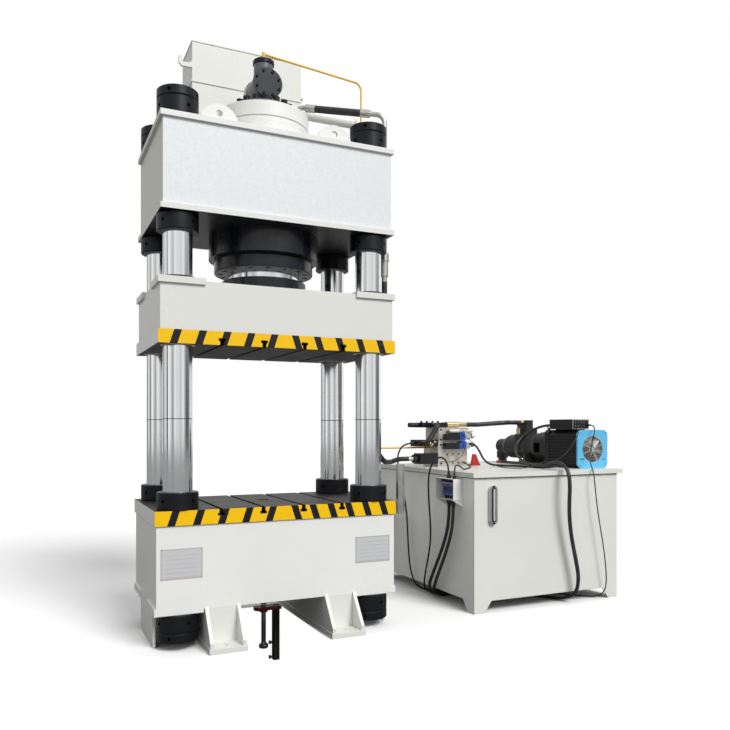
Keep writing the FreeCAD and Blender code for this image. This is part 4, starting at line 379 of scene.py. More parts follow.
materials = {
    "white": paint("whitePaint", white),
    "crown": paint("crownPaint", (0.745, 0.75, 0.715), second=(0.005, 0.006, 0.007), below=crownUnderside,
                   waves=3.0, colourPatchesAndPaintedLight=crownShadedEndsAndFront, sides=shadedCrownEnds),
    # a dimmer copy of the white paint for the slide frame and the bed's feet, as painted shade
    "slide": paint("shadedSlidePaint", (0.71, 0.715, 0.675)),
    # a darker copy of the white paint for the filling tank, as painted shade
    "filling": paint("shadedFillingPaint", (0.66, 0.67, 0.625)),
    "tank": paint("tankPaint", (0.73, 0.735, 0.685), colourPatchesAndPaintedLight=tankLitSideAndBreather),
    "box": paint("boxPaint", white, second=black, above=1.0812, colourPatchesAndPaintedLight=boxAreas),
    "barrel": paint("barrelPaint", black, roughness=0.26, dirt=0.02, second=white, above=crownSeat,
                    **blackCoat),
    "blackPaint": paint("blackPaint", black, roughness=0.24, dirt=0.02, **blackCoat),
    "motor": paint("motorPaint", (0.006, 0.007, 0.009), roughness=0.45, dirt=0.08, gloss=0.35,
                   dirtColour=(0.03, 0.03, 0.03)),
    "slate": paint("slatePaint", (0.100, 0.106, 0.114), roughness=0.36, dirt=0.1,
                   dirtColour=(0.12, 0.12, 0.12)),
    "red": paint("redPaint", (0.26, 0.016, 0.012), roughness=0.4, dirt=0.2),
    "rails": paint("railPaint", (0.030, 0.031, 0.033), roughness=0.5, dirt=0.3, colourPatchesAndPaintedLight=railAreas),
    "yellow": paint("yellowPaint", (0.86, 0.52, 0.04), roughness=0.35, dirt=0.1, edge=0.001),
    "fanCover": guardedCover("fanCoverPaint", (0.115, 0.49, 0.78)),
    "oxide": oxide("blackOxide", (0.010, 0.011, 0.014), roughness=0.36),
    "bolts": oxide("boltOxide", (0.010, 0.011, 0.013), roughness=0.45, lathed=False),
    "darkBar": oxide("darkBar", (0.035, 0.030, 0.026), roughness=0.5, lathed=False),
    "steel": bareSteel("bareSteel", (0.56, 0.55, 0.53)),
    "zinc": bareSteel("zincSteel", (0.58, 0.54, 0.47), roughness=0.38, oil=0.6, metallic=0.6),
    "bronze": bareSteel("bronze", (0.60, 0.40, 0.17), roughness=0.32),
    "brass": bareSteel("brass", (0.78, 0.62, 0.36), roughness=0.30, oil=0.15),
    "chrome": chrome("hardChrome", columnSeams),
    "iron": castIron("castIron", (0.010, 0.010, 0.011)),
    "rubber": plastic("rubber", (0.012, 0.012, 0.013), roughness=0.52, **rubberSkin),
    "hose": plastic("hoseRubber", (0.014, 0.014, 0.015), roughness=0.45, fittings=hoseEnds,
                    metal=(0.55, 0.53, 0.48), **rubberSkin),
    "unitHose": plastic("unitHoseRubber", (0.016, 0.016, 0.017), roughness=0.40, fittings=ferrules,
                        **rubberSkin),
    "cable": plastic("cableSheath", (0.014, 0.014, 0.016), roughness=0.42, grainScale=90.0, strength=0.1),
    "grey": plastic("greyPlastic", (0.30, 0.31, 0.32), roughness=0.45),
    "coil": plastic("coilPlastic", (0.012, 0.065, 0.36), roughness=0.32),
    "solenoid": plastic("solenoidPlastic", (0.010, 0.075, 0.40), roughness=0.32, fittings=coilTubes,
                        metal=(0.70, 0.69, 0.66)),
    "paleCard": plastic("paleCard", (0.72, 0.72, 0.70), roughness=0.5),
    "clear": plastic("gaugeGlass", (0.62, 0.64, 0.64), roughness=0.12, grainScale=20.0, strength=0.02),
    "bedTable": tablePlate("bedTablePlate", bedStripes, *tableEdges["bed"]),
    "slideTable": tablePlate("slideTablePlate", slideStripes, *tableEdges["slide"]),
}
for plateName, plateSpec in plates.items():
    materials[plateName] = dataPlate(plateName, plateSpec)
print("materials", len(materials))

nodeMaterials = {
    "white": ("bed_frame", "cylinder_head", "ring_flange", "overflow_pipe"),
    "slide": ("slide_frame", "bed_feet"),
    "filling": ("filling_tank",),
    "tank": ("tank_body", "tank_lid"),
    "box": ("junction_box",),
    "crown": ("crown_frame",),
    "barrel": ("cylinder_barrel",),
    "blackPaint": ("gland_ring", "ram_flange", "valve_stack"),
    "motor": ("motor_housing", "terminal_box"),
    "oxide": ("outer_nuts", "lock_nuts", "inner_nuts", "prefill_covers", "ejector_cylinder"),
    "bolts": ("cylinder_bolts", "ram_bolts"),
    "darkBar": ("dog_bar",),
    "chrome": ("columns", "ram"),
    "slate": ("prefill_body",),
    "steel": ("prefill_poppet", "ejector_rod", "guard_rail", "pressure_pipe", "motor_fan", "level_gauge"),
    "zinc": ("manifold_block", "cartridge_block"),
    "bronze": ("guide_bushes",),
    "rubber": ("wiper_rings",),
    "hose": ("press_hoses",),
    "unitHose": ("unit_hoses",),
    "red": ("ejector_plate",),
    "rails": ("pump_rails",),
    "yellow": ("pilot_pipe",),
    "fanCover": ("fan_cover",),
    "iron": ("bell_housing", "drive_coupling", "pump"),
    "solenoid": ("solenoids",),
    "grey": ("trunk_plug",),
    "cable": ("cable_boot", "trunk_coil", "rear_cable", "loop_cable", "sleeve_cable_front",
              "sleeve_cable_rear", "motor_cable", "fan_cable", "trunk_cable"),
    "bedTable": ("bed_table",),
    "slideTable": ("slide_table",),
}
sharpAngle = math.radians(32)
for kind, names in nodeMaterials.items():
    for name in names:
        mesh = nodes[name].data
        mesh.materials.clear()
        mesh.materials.append(materials[kind])
        mesh.shade_smooth()
        mesh.set_sharp_from_angle(angle=sharpAngle)


# Cords: the route points are part.py's own

# The coil: steps to a turn, turns, first angle in degrees, and how far the curve runs inside its points;
# then the radius and height wanted at some of its turns
trunkCoil = {"centre": (2.560, 0.760), "steps": 12, "turns": 2.72, "from": 75.0, "shrink": 0.9665,
             "at": (0.0, 0.2, 0.8, 1.0, 1.7, 1.88, 2.55, 2.72),
             "radius": (0.209, 0.176, 0.176, 0.144, 0.144, 0.144, 0.144, 0.172),
             "height": (0.017, 0.017, 0.017, 0.017, 0.017, 0.049, 0.049, 0.049)}
lastTurn = {"centre": (2.600, 0.752), "radius": 0.2245, "angles": (142, 114, 86, 58, 30, 2, -26, -54),
            "height": (0.049, 0.049, 0.049, 0.047, 0.036, 0.022, 0.018, 0.022)}


def coilPoints():  # clockwise turns about a centre, then one wider turn over the cable's own tail
    turn = np.arange(1, int(trunkCoil["turns"] * trunkCoil["steps"]) + 1) / trunkCoil["steps"]
    angle = np.radians(trunkCoil["from"] - 360 * turn)
    radius = np.interp(turn, trunkCoil["at"], trunkCoil["radius"]) / trunkCoil["shrink"]
    height = np.interp(turn, trunkCoil["at"], trunkCoil["height"])
    x = trunkCoil["centre"][0] + radius * np.cos(angle)
    y = trunkCoil["centre"][1] + radius * np.sin(angle)
    wide = np.radians(lastTurn["angles"])
    overX = lastTurn["centre"][0] + lastTurn["radius"] * np.cos(wide)
    overY = lastTurn["centre"][1] + lastTurn["radius"] * np.sin(wide)
    turns = np.c_[x, y, height]
    over = np.c_[overX, overY, lastTurn["height"]]
    return turns.tolist() + over.tolist()


cords = {
    "rearCable": {
        "node": ("rear_cable",), "diameter": 0.016, "length": 2.01, "stiffness": "medium",
        "points": [(1.615, .530, 1.361), (1.511, .530, 1.361), (1.453, .552, 1.267), (1.463, .559, 1.144),
                   (1.486, .560, 1.022), (1.515, .558, .901), (1.543, .559, .780), (1.557, .559, .656),
                   (1.560, .554, .533), (1.559, .540, .409), (1.557, .518, .287), (1.557, .483, .168),
                   (1.581, .435, .057), (1.685, .403, .010), (1.809, .404, .009), (1.928, .436, .009),
                   (1.975, .546, .009), (1.975, .650, .009)]},
    "loopCable": {
        "node": ("loop_cable",), "diameter": 0.016, "length": 2.15, "stiffness": "medium",
        "points": [(1.5555, -.182, 1.105), (1.5555, -.182, 1.197), (1.538, -.107, 1.263),
                   (1.512, -.006, 1.229), (1.502, .050, 1.133), (1.504, .072, 1.023), (1.511, .079, .910),
                   (1.521, .082, .798), (1.533, .087, .686), (1.544, .099, .574), (1.549, .122, .464),
                   (1.549, .154, .356), (1.548, .191, .249), (1.554, .232, .145), (1.588, .285, .052),
                   (1.678, .331, .011), (1.789, .354, .009), (1.897, .383, .009), (1.986, .449, .009),
                   (2.010, .558, .009), (2.010, .650, .009)]},
    "sleeveCableFront": {
        "node": ("sleeve_cable_front",), "diameter": 0.028, "length": 1.75, "stiffness": "stiff",
        "points": [(1.5435, -.272, .880), (1.5435, -.272, .720), (1.536, -.217, .545),
                   (1.538, -.123, .385), (1.538, -.024, .229), (1.551, .080, .077), (1.692, .156, .015),
                   (1.865, .222, .015), (2.016, .326, .015), (2.092, .490, .015), (2.092, .650, .015)]},
    "sleeveCableRear": {
        "node": ("sleeve_cable_rear",), "diameter": 0.028, "length": 1.67, "stiffness": "stiff",
        "points": [(1.5435, -.207, .880), (1.5435, -.207, .720), (1.535, -.152, .554),
                   (1.534, -.063, .404), (1.533, .035, .258), (1.541, .134, .115), (1.634, .224, .018),
                   (1.802, .275, .015), (1.960, .350, .015), (2.050, .490, .015), (2.050, .650, .015)]},
    "motorCable": {
        "node": ("motor_cable",), "diameter": 0.024, "length": 3.91, "stiffness": "stiff",
        "points": [(2.841, .052, 1.528), (2.841, .160, 1.528), (2.809, .286, 1.493), (2.731, .367, 1.426),
                   (2.637, .349, 1.337), (2.571, .261, 1.261), (2.533, .143, 1.209), (2.508, .015, 1.178),
                   (2.490, -.118, 1.166), (2.474, -.252, 1.169), (2.464, -.383, 1.195),
                   (2.460, -.515, 1.219), (2.460, -.613, 1.142), (2.461, -.626, 1.009),
                   (2.464, -.613, .875), (2.478, -.599, .742), (2.502, -.590, .610), (2.533, -.588, .479),
                   (2.565, -.588, .348), (2.588, -.589, .216), (2.585, -.558, .087), (2.550, -.446, .028),
                   (2.506, -.320, .015), (2.459, -.194, .013), (2.408, -.069, .013), (2.353, .053, .013),
                   (2.291, .173, .013), (2.224, .290, .013), (2.167, .412, .013), (2.134, .542, .013),
                   (2.134, .650, .013)]},
    "fanCable": {
        "node": ("fan_cable",), "diameter": 0.010, "length": 3.06, "stiffness": "medium",
        "points": [(2.956, -.304, 1.528), (2.956, -.364, 1.528), (2.931, -.413, 1.487),
                   (2.905, -.422, 1.418), (2.887, -.419, 1.346), (2.866, -.422, 1.275),
                   (2.838, -.451, 1.214), (2.808, -.503, 1.171), (2.790, -.550, 1.118),
                   (2.789, -.564, 1.045), (2.796, -.566, .971), (2.806, -.565, .898),
                   (2.818, -.564, .824), (2.831, -.565, .751), (2.845, -.565, .678), (2.859, -.566, .605),
                   (2.874, -.567, .533), (2.887, -.567, .460), (2.901, -.565, .387), (2.913, -.563, .313),
                   (2.924, -.559, .240), (2.932, -.553, .166), (2.935, -.539, .094), (2.923, -.498, .034),
                   (2.890, -.438, .009), (2.846, -.378, .006), (2.799, -.321, .006), (2.752, -.263, .006),
                   (2.705, -.206, .006), (2.659, -.147, .006), (2.614, -.089, .006), (2.569, -.029, .006),
                   (2.526, .031, .006), (2.483, .092, .006), (2.442, .154, .006), (2.401, .216, .006),
                   (2.359, .277, .006), (2.314, .337, .006), (2.267, .394, .006), (2.223, .453, .006),
                   (2.190, .520, .006), (2.166, .590, .006), (2.166, .650, .006)]},
    "valveCable": {
        "node": (), "diameter": 0.020, "length": 3.64, "stiffness": "medium",
        "points": [(2.135, .400, 1.352), (2.195, .395, 1.350), (2.238, .385, 1.290), (2.272, .365, 1.205),
                   (2.315, .320, 1.156), (2.375, .240, 1.150), (2.446, .130, 1.150), (2.494, .010, 1.150),
                   (2.513, -.120, 1.150), (2.514, -.252, 1.151), (2.503, -.383, 1.167),
                   (2.488, -.520, 1.197), (2.486, -.600, 1.133), (2.487, -.613, 1.007),
                   (2.490, -.600, .872), (2.504, -.586, .739), (2.528, -.577, .606), (2.559, -.575, .475),
                   (2.591, -.575, .346), (2.615, -.574, .218), (2.615, -.542, .085), (2.580, -.436, .026),
                   (2.534, -.310, .011), (2.486, -.184, .011), (2.435, -.059, .011), (2.379, .064, .011),
                   (2.317, .185, .011), (2.250, .303, .011), (2.193, .422, .011), (2.158, .545, .024),
                   (2.1535, .650, .035)]},
    "lidCable": {
        "node": (), "diameter": 0.013, "length": 1.02, "stiffness": "medium",
        "points": [(1.5555, -.272, 1.096), (1.5555, -.272, 1.150), (1.572, -.264, 1.198),
                   (1.640, -.222, 1.182), (1.715, -.150, 1.152), (1.830, -.030, 1.1465),
                   (1.950, .100, 1.1465), (2.040, .220, 1.1465), (2.085, .330, 1.150),
                   (2.100, .400, 1.172), (2.100, .450, 1.180)]},
    "coilLead": {
        "node": (), "diameter": 0.006, "length": 0.35, "stiffness": "limp", "lay": "hanging",
        "points": [(2.060, .390, 1.332), (2.060, .355, 1.325), (2.035, .335, 1.262), (1.975, .345, 1.205),
                   (1.905, .375, 1.182), (1.862, .415, 1.186), (1.858, .450, 1.192)]},
    "coilLeadUpper": {
        "node": (), "diameter": 0.006, "length": 0.31, "stiffness": "limp", "lay": "hanging",
        "points": [(2.060, .390, 1.432), (2.060, .352, 1.426), (2.098, .330, 1.385), (2.165, .340, 1.350),
                   (2.190, .385, 1.330), (2.165, .440, 1.322), (2.145, .470, 1.320)]},
    "fanLead": {
        "node": (), "diameter": 0.008, "length": 1.09, "stiffness": "medium",
        "points": [(2.800, -.288, 1.505), (2.800, -.345, 1.498), (2.760, -.390, 1.440),
                   (2.690, -.395, 1.345), (2.600, -.370, 1.245), (2.525, -.328, 1.205),
                   (2.468, -.284, 1.206), (2.405, -.234, 1.168), (2.330, -.170, 1.144),
                   (2.250, -.060, 1.144), (2.231, .060, 1.150), (2.245, .138, 1.160)]},
    "trunkCable": {
        "node": ("trunk_cable", "trunk_coil"), "diameter": 0.032, "length": 4.57, "stiffness": "stiff",
        "lay": "coiled", "farEnd": "connector", "with": ("trunk_plug",),
        "points": [(2.070, .770, .017), (2.070, .906, .017), (2.106, 1.060, .017), (2.232, 1.148, .017),
                   (2.385, 1.119, .017), (2.484, 1.001, .017), (2.614, .962, .017)]
                  + coilPoints() + [(2.600, .535, .030), (2.570, .535, .030)]},
}


def layCord(name, spec):
    curve = bpy.data.curves.new(name, "CURVE")
    curve.dimensions = "3D"
    curve.bevel_depth = spec["diameter"] / 2
    curve.bevel_resolution = 4
    curve.use_fill_caps = True
    spline = curve.splines.new("NURBS")
    spline.points.add(len(spec["points"]) - 1)
    weighted = np.c_[np.array(spec["points"]), np.ones(len(spec["points"]))]
    spline.points.foreach_set("co", weighted.ravel())
    spline.order_u = 3
    spline.use_endpoint_u = True
    spline.resolution_u = 6
    curve.materials.append(materials["cable"])
    made = bpy.data.objects.new(name, curve)
    bpy.context.scene.collection.objects.link(made)
    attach(made, "frame")
    if spec["node"]:
        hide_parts(*spec["node"])


for cordName, cordSpec in cords.items():
    layCord(cordName, cordSpec)
print("cords", len(cords))


# Small pieces
forward, backward = (0, -1, 0), (0, 1, 0)
leftward, rightward = (-1, 0, 0), (1, 0, 0)
downward, upward = (0, 0, -1), (0, 0, 1)
sunk = 0.0003  # how far a small piece starts inside the face that it sits on
squareLoop = np.array([(0, 0), (1, 0), (1, 1), (0, 1)])  # the corners of a rectangle, in order


def shell(grid, ring=False):  # faces between rows of points; each row closes on itself
    # the last row meets the first in a ring, and otherwise both end rows are capped
    rows, columns = grid.shape[:2]
    index = np.arange(rows * columns).reshape(rows, columns)
    after = np.roll(index, -1, axis=1)
    quads = np.stack([index, after, np.roll(after, -1, axis=0), np.roll(index, -1, axis=0)], axis=2)
    if ring:
        return grid.reshape(-1, 3), quads.reshape(-1, 4).tolist()
    faces = [index[0, ::-1].tolist(), index[-1].tolist()]
    return grid.reshape(-1, 3), faces + quads[:-1].reshape(-1, 4).tolist()


def turned(profile, centre, axis, sides):
    # rings about an axis: centre + along * axis + radius * (cos * u + sin * v);
    # a ring marked "hex" has six flats
    axis = np.array(axis, float)
    u = np.cross(axis, (0.0, 0.0, 1.0) if abs(axis[2]) < 0.9 else (0.0, 1.0, 0.0))
    u = u / np.linalg.norm(u)
    v = np.cross(axis, u)
    angle = np.linspace(0, 2 * math.pi, sides, endpoint=False)[:, None]
    flats = math.cos(math.pi / 6) / np.cos(angle % (math.pi / 3) - math.pi / 6)
    radius = np.array([ring[0] for ring in profile])[:, None, None]
    along = np.array([ring[1] for ring in profile])[:, None, None]
    hexagonal = np.array([len(ring) > 2 for ring in profile])[:, None, None]
    reach = radius * np.where(hexagonal, flats, 1.0)
    return shell(np.array(centre) + along * axis + reach * (np.cos(angle) * u + np.sin(angle) * v))


def block(low, high):  # a box between two corners, as two rectangles
    foot = np.insert(squareLoop, 2, 0, axis=1)
    head = np.insert(squareLoop, 2, 1, axis=1)
    return shell(np.where([foot, head], high, low))


def rim(low, high, width, axis):  # a box with an opening along one axis: a section carried round a rectangle
    low, high = np.array(low, float), np.array(high, float)
    inset = np.where(np.arange(3) == axis, 0.0, width)
    near = np.insert(squareLoop, axis, 0, axis=1)
    far = np.insert(squareLoop, axis, 1, axis=1)
    outer = [np.where(near, high, low), np.where(far, high, low)]
    inner = [np.where(far, high - inset, low + inset), np.where(near, high - inset, low + inset)]
    return shell(np.array(outer + inner), ring=True)


def gather(parts):  # several vertex and face lists as one
    vertices, faces, count = [], [], 0
    for points, sides in parts:
        vertices.append(points)
        faces += [[count + i for i in face] for face in sides]
        count += len(points)
    return np.concatenate(vertices), faces


def piece(name, parts, kind, body="frame", bevel=0.0):
    vertices, faces = gather(parts)
    mesh = bpy.data.meshes.new(name)
    mesh.from_pydata(vertices.tolist(), [], faces)
    outward = bmesh.new()
    outward.from_mesh(mesh)
    bmesh.ops.recalc_face_normals(outward, faces=outward.faces)
    outward.to_mesh(mesh)
    outward.free()
    mesh.materials.append(materials[kind])
    mesh.shade_smooth()
    mesh.set_sharp_from_angle(angle=sharpAngle)
    made = bpy.data.objects.new(name, mesh)
    bpy.context.scene.collection.objects.link(made)
    if bevel:
        rounding = made.modifiers.new("edges", "BEVEL")
        rounding.width = bevel
        rounding.segments = 2
        rounding.limit_method = "ANGLE"
    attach(made, body)


def socketScrew(centre, axis, radius, height):  # a round head with a hexagon socket
    socket = radius * 0.56
    profile = [(radius, 0), (radius, height * 0.88), (radius * 0.92, height), (socket, height, "hex"),
               (socket, height * 0.45, "hex"), (0.0001, height * 0.40)]
    return turned(profile, centre, axis, sides=36)


def screwGrid(spec):  # a socket screw at each x and z, on a face that looks forward
    return [socketScrew((x, spec["y"], z), forward, spec["radius"], spec["height"])
            for x in spec["x"] for z in spec["z"]]


def dome(centre, axis, radius, height):  # a round rivet or screw head: a quarter circle, turned
    bow = np.linspace(0, math.pi / 2, 6)
    return turned(np.c_[radius * np.cos(bow) + 0.0001, height * np.sin(bow)], centre, axis, sides=20)


def sleeve(at, axis, radii, length):  # a strain relief: a cone, ribbed by a square wave
    big, small = radii
    along = np.linspace(0, 1, 13)
    ribs = 1 + 0.035 * np.sign(np.sin(along * 6 * math.pi + 0.2))
    radius = np.maximum(small, (big + (small - big) * along) * ribs)
    return turned(np.c_[radius, along * length], at, axis, sides=28)


reliefs = {
    "rearRelief": {"at": (1.613, .530, 1.361), "axis": leftward, "radii": (0.0135, 0.0086), "length": 0.042},
    "loopRelief": {"at": (1.5555, -.182, 1.103), "axis": upward, "radii": (0.0140, 0.0086), "length": 0.036},
    "sleeveReliefFront": {"at": (1.5435, -.272, .882), "axis": downward, "radii": (0.0190, 0.0146),
                          "length": 0.038},
    "sleeveReliefRear": {"at": (1.5435, -.207, .882), "axis": downward, "radii": (0.0190, 0.0146),
                         "length": 0.038},
    "motorRelief": {"at": (2.841, .050, 1.528), "axis": backward, "radii": (0.0175, 0.0126),
                    "length": 0.040},
    "fanRelief": {"at": (2.956, -.302, 1.528), "axis": forward, "radii": (0.0095, 0.0056), "length": 0.028},
    "valveRelief": {"at": (2.133, .400, 1.352), "axis": rightward, "radii": (0.0145, 0.0106),
                    "length": 0.034},
    "lidRelief": {"at": (1.5555, -.272, 1.094), "axis": upward, "radii": (0.0120, 0.0070), "length": 0.030},
    "coilRelief": {"at": (2.060, .391, 1.332), "axis": forward, "radii": (0.0060, 0.0034), "length": 0.020},
    "coilReliefUpper": {"at": (2.060, .391, 1.432), "axis": forward, "radii": (0.0060, 0.0034),
                        "length": 0.020},
    "fanLeadRelief": {"at": (2.800, -.289, 1.505), "axis": forward, "radii": (0.0075, 0.0044),
                      "length": 0.022},
    "trunkRelief": {"at": (2.070, .768, .0245), "axis": (0, .9888, -.149), "radii": (0.0225, 0.0168),
                    "length": 0.050},
}
for name, spec in reliefs.items():
    piece(name, [sleeve(**spec)], "rubber")

# Both plates on the bed, with a rivet in each corner
plateFit = {"thick": 0.0016, "back": 0.0002, "bevel": 0.0005}
rivet = {"inset": 0.009, "radius": 0.0036, "height": 0.0018, "back": 0.0002}
for name, spec in plates.items():
    (left, foot), (right, head) = spec["low"], spec["high"]
    face = bedFront - plateFit["thick"]
    back = bedFront + plateFit["back"]
    piece(name, [block((left, face, foot), (right, back, head))], name,
          bevel=plateFit["bevel"])
    rivets = [dome((x, face + rivet["back"], z), forward, rivet["radius"], rivet["height"])
              for x in (left + rivet["inset"], right - rivet["inset"])
              for z in (foot + rivet["inset"], head - rivet["inset"])]
    piece(name + "Rivets", rivets, "steel")

# Socket screws round the prefill valve's front cover
cover = {"centre": (0.0, -0.117, 4.123), "ring": 0.092, "count": 8, "radius": 0.0105, "height": 0.010}
around = np.linspace(0, 2 * math.pi, cover["count"], endpoint=False) + math.pi / cover["count"]
centreX, coverFace, centreZ = cover["centre"]
screws = []
for angle in around:
    x = centreX + cover["ring"] * math.cos(angle)
    z = centreZ + cover["ring"] * math.sin(angle)
    screws.append(socketScrew((x, coverFace + sunk, z), forward, cover["radius"], cover["height"]))
piece("coverScrews", screws, "bolts")

# Rubber gasket between the tank and its lid
gasket = {"low": (1.6030, -0.4945, 1.0925), "high": (3.1095, 1.2085, 1.1004), "width": 0.012}
piece("lidGasket", [rim(gasket["low"], gasket["high"], gasket["width"], axis=2)], "rubber")

# Terminal blocks on the rail in the open junction box, with a mark and two clamp screws each
terminals = {"first": -0.303, "pitch": 0.0078, "count": 28, "front": 1.556, "back": 1.5715, "width": 0.0066,
             "upper": (1.012, 1.046), "lower": (0.934, 0.974), "bevel": 0.0006}
mark = {"proud": 0.0012, "back": 0.0004, "inset": 0.0008, "foot": 1.034, "head": 1.043, "bevel": 0.0002}
clamp = {"heights": (1.020, 0.944), "radius": 0.0024, "height": 0.0012, "back": 0.0002}
front, back, width = terminals["front"], terminals["back"], terminals["width"]
starts = [terminals["first"] + i * terminals["pitch"] for i in range(terminals["count"])]
for name, row in (("terminalsUpper", "upper"), ("terminalsLower", "lower")):
    foot, head = terminals[row]
    piece(name, [block((front, y, foot), (back, y + width, head)) for y in starts], "coil",
          bevel=terminals["bevel"])
marks = [block((front - mark["proud"], y + mark["inset"], mark["foot"]),
               (front + mark["back"], y + width - mark["inset"], mark["head"])) for y in starts]
piece("terminalMarks", marks, "paleCard", bevel=mark["bevel"])
clamps = [dome((front + clamp["back"], y + width / 2, z), leftward, clamp["radius"], clamp["height"])
          for y in starts for z in clamp["heights"]]
piece("terminalClamps", clamps, "steel")

# Slotted duct above the terminals
duct = {"low": (1.548, -0.314, 1.052), "high": (1.5995, -0.072, 1.076), "bevel": 0.0005}
rib = {"from": -0.309, "to": -0.08, "pitch": 0.009, "width": 0.004, "proud": 0.0012, "back": 0.0004,
       "foot": 0.002, "head": 0.018}
ductFace, _, ductFoot = duct["low"]
ribs = [block((ductFace - rib["proud"], y, ductFoot + rib["foot"]),
              (ductFace + rib["back"], y + rib["width"], ductFoot + rib["head"]))
        for y in np.arange(rib["from"], rib["to"], rib["pitch"])]
piece("wireDuct", [block(duct["low"], duct["high"])] + ribs, "motor", bevel=duct["bevel"])

# Level gauge: backing, glass tube, end screws and scale
gauge = {"x": 1.776, "face": -0.519, "foot": 0.740, "head": 1.014, "halfWidth": 0.018, "proud": 0.0035,
         "back": 0.0005, "bevel": 0.0015}
gaugeTube = {"aside": 0.001, "proud": 0.004, "radius": 0.0082, "endRadius": 0.0075, "foot": 0.008,
             "head": 0.266, "taper": 0.004}
gaugeScale = {"left": -0.015, "right": -0.010, "front": -0.0042, "back": -0.0030, "thick": 0.0016,
              "from": 0.77, "to": 0.99, "pitch": 0.02}
gaugeScrew = {"heights": (0.729, 1.025), "radius": 0.0085, "height": 0.007}
gaugeX, gaugeFace = gauge["x"], gauge["face"]
piece("gaugeGlass", [block((gaugeX - gauge["halfWidth"], gaugeFace - gauge["proud"], gauge["foot"]),
                           (gaugeX + gauge["halfWidth"], gaugeFace + gauge["back"], gauge["head"]))],
      "motor", bevel=gauge["bevel"])
tubeProfile = [(gaugeTube["endRadius"], gaugeTube["foot"]),
               (gaugeTube["radius"], gaugeTube["foot"] + gaugeTube["taper"]),
               (gaugeTube["radius"], gaugeTube["head"] - gaugeTube["taper"]),
               (gaugeTube["endRadius"], gaugeTube["head"])]
tubeFoot = (gaugeX + gaugeTube["aside"], gaugeFace - gaugeTube["proud"], gauge["foot"])
piece("gaugeTube", [turned(tubeProfile, tubeFoot, upward, sides=24)], "clear")
endScrews = [socketScrew((gaugeX, gaugeFace + sunk, z), forward, gaugeScrew["radius"], gaugeScrew["height"])
             for z in gaugeScrew["heights"]]
piece("gaugeScrews", endScrews, "bolts")
lines = [block((gaugeX + gaugeScale["left"], gaugeFace + gaugeScale["front"], z),
               (gaugeX + gaugeScale["right"], gaugeFace + gaugeScale["back"], z + gaugeScale["thick"]))
         for z in np.arange(gaugeScale["from"], gaugeScale["to"], gaugeScale["pitch"])]
piece("gaugeScale", lines, "steel")

# Fan cover screws, and the slots at its foot
fanScrew = {"x": (2.802, 3.104), "y": -0.3598, "z": (1.163, 1.461), "radius": 0.0075, "height": 0.005}
piece("fanCoverScrews", screwGrid(fanScrew), "steel")
fanSlots = {"front": -0.3604, "back": -0.3598, "bevel": 0.0002,
            "places": (((2.805, 1.221), (2.853, 1.229)), ((3.066, 1.217), (3.091, 1.225)))}
slots = [block((left, fanSlots["front"], foot), (right, fanSlots["back"], head))
         for (left, foot), (right, head) in fanSlots["places"]]
piece("fanCoverSlots", slots, "bolts", bevel=fanSlots["bevel"])

# The terminal box's open face: a pale rim, and studs on its dark board
boxFace = {"low": (2.783, 1.492), "high": (2.969, 1.578), "y": -0.290, "width": 0.006, "proud": 0.003,
           "back": 0.0005, "bevel": 0.0008}
stud = {"x": (2.815, 2.848, 2.881, 2.914), "z": (1.520, 1.552), "sides": 24,
        "profile": [(0.0048, 0), (0.0048, 0.003, "hex"), (0.0022, 0.0035), (0.0022, 0.008), (0.0016, 0.009)]}
(left, foot), (right, head) = boxFace["low"], boxFace["high"]
piece("terminalRim", [rim((left, boxFace["y"] - boxFace["proud"], foot),
                          (right, boxFace["y"] + boxFace["back"], head), boxFace["width"], axis=1)],
      "zinc", bevel=boxFace["bevel"])
studs = [turned(stud["profile"], (x, boxFace["y"] + sunk, z), forward, stud["sides"])
         for x in stud["x"] for z in stud["z"]]
piece("terminalStuds", studs, "steel")

# Fittings on the valve stack: one adaptor and two smaller unions
adaptor = {"profile": [(0.017, 0), (0.017, 0.016, "hex"), (0.012, 0.018), (0.012, 0.036), (0.009, 0.040)],
           "at": [(1.750, 0.4605, 1.349)]}
union = {"profile": [(0.011, 0), (0.011, 0.010, "hex"), (0.0065, 0.011), (0.0065, 0.018)],
         "at": [(1.795, 0.4605, 1.372), (1.700, 0.4605, 1.352)]}
fittings = [turned(spec["profile"], at, forward, sides=30) for spec in (adaptor, union) for at in spec["at"]]
piece("valveFittings", fittings, "brass")

# The relief cartridge on top, the solenoids' end nuts, and the screws of the four valve blocks
cartridge = {"at": (1.930, 0.4385, 1.4710), "profile": [
    (0.016, 0), (0.0215, 0.004), (0.0215, 0.095), (0.0245, 0.100), (0.0245, 0.132, "hex"), (0.020, 0.136),
    (0.020, 0.205), (0.0165, 0.210), (0.0165, 0.240), (0.010, 0.244), (0.010, 0.264), (0.006, 0.268)]}
piece("reliefCartridge", [turned(cartridge["profile"], cartridge["at"], rightward, sides=36)],
      "zinc")
coilNut = {"x": 2.1766, "y": 0.425, "heights": (1.343, 1.423), "profile": [
    (0.020, 0), (0.0225, 0.004), (0.0225, 0.013), (0.016, 0.017), (0.0125, 0.030), (0.004, 0.034)]}
piece("coilNuts", [turned(coilNut["profile"], (coilNut["x"], coilNut["y"], z), rightward, sides=30)
                   for z in coilNut["heights"]], "zinc")
valveBlocks = [
    {"x": (1.857, 2.117), "y": 0.4502, "z": (1.170, 1.345), "radius": 0.009, "height": 0.006},
    {"x": (1.866, 2.010), "y": 0.4642, "z": (1.395, 1.486), "radius": 0.008, "height": 0.006},
    {"x": (1.700, 1.947), "y": 0.500, "z": (1.518, 1.541), "radius": 0.006, "height": 0.004},
    {"x": (1.628, 1.814), "y": 0.4602, "z": (1.340, 1.381), "radius": 0.006, "height": 0.004},
]
piece("blockScrews", [screw for spec in valveBlocks for screw in screwGrid(spec)], "bolts")


# Floor, lamp and world

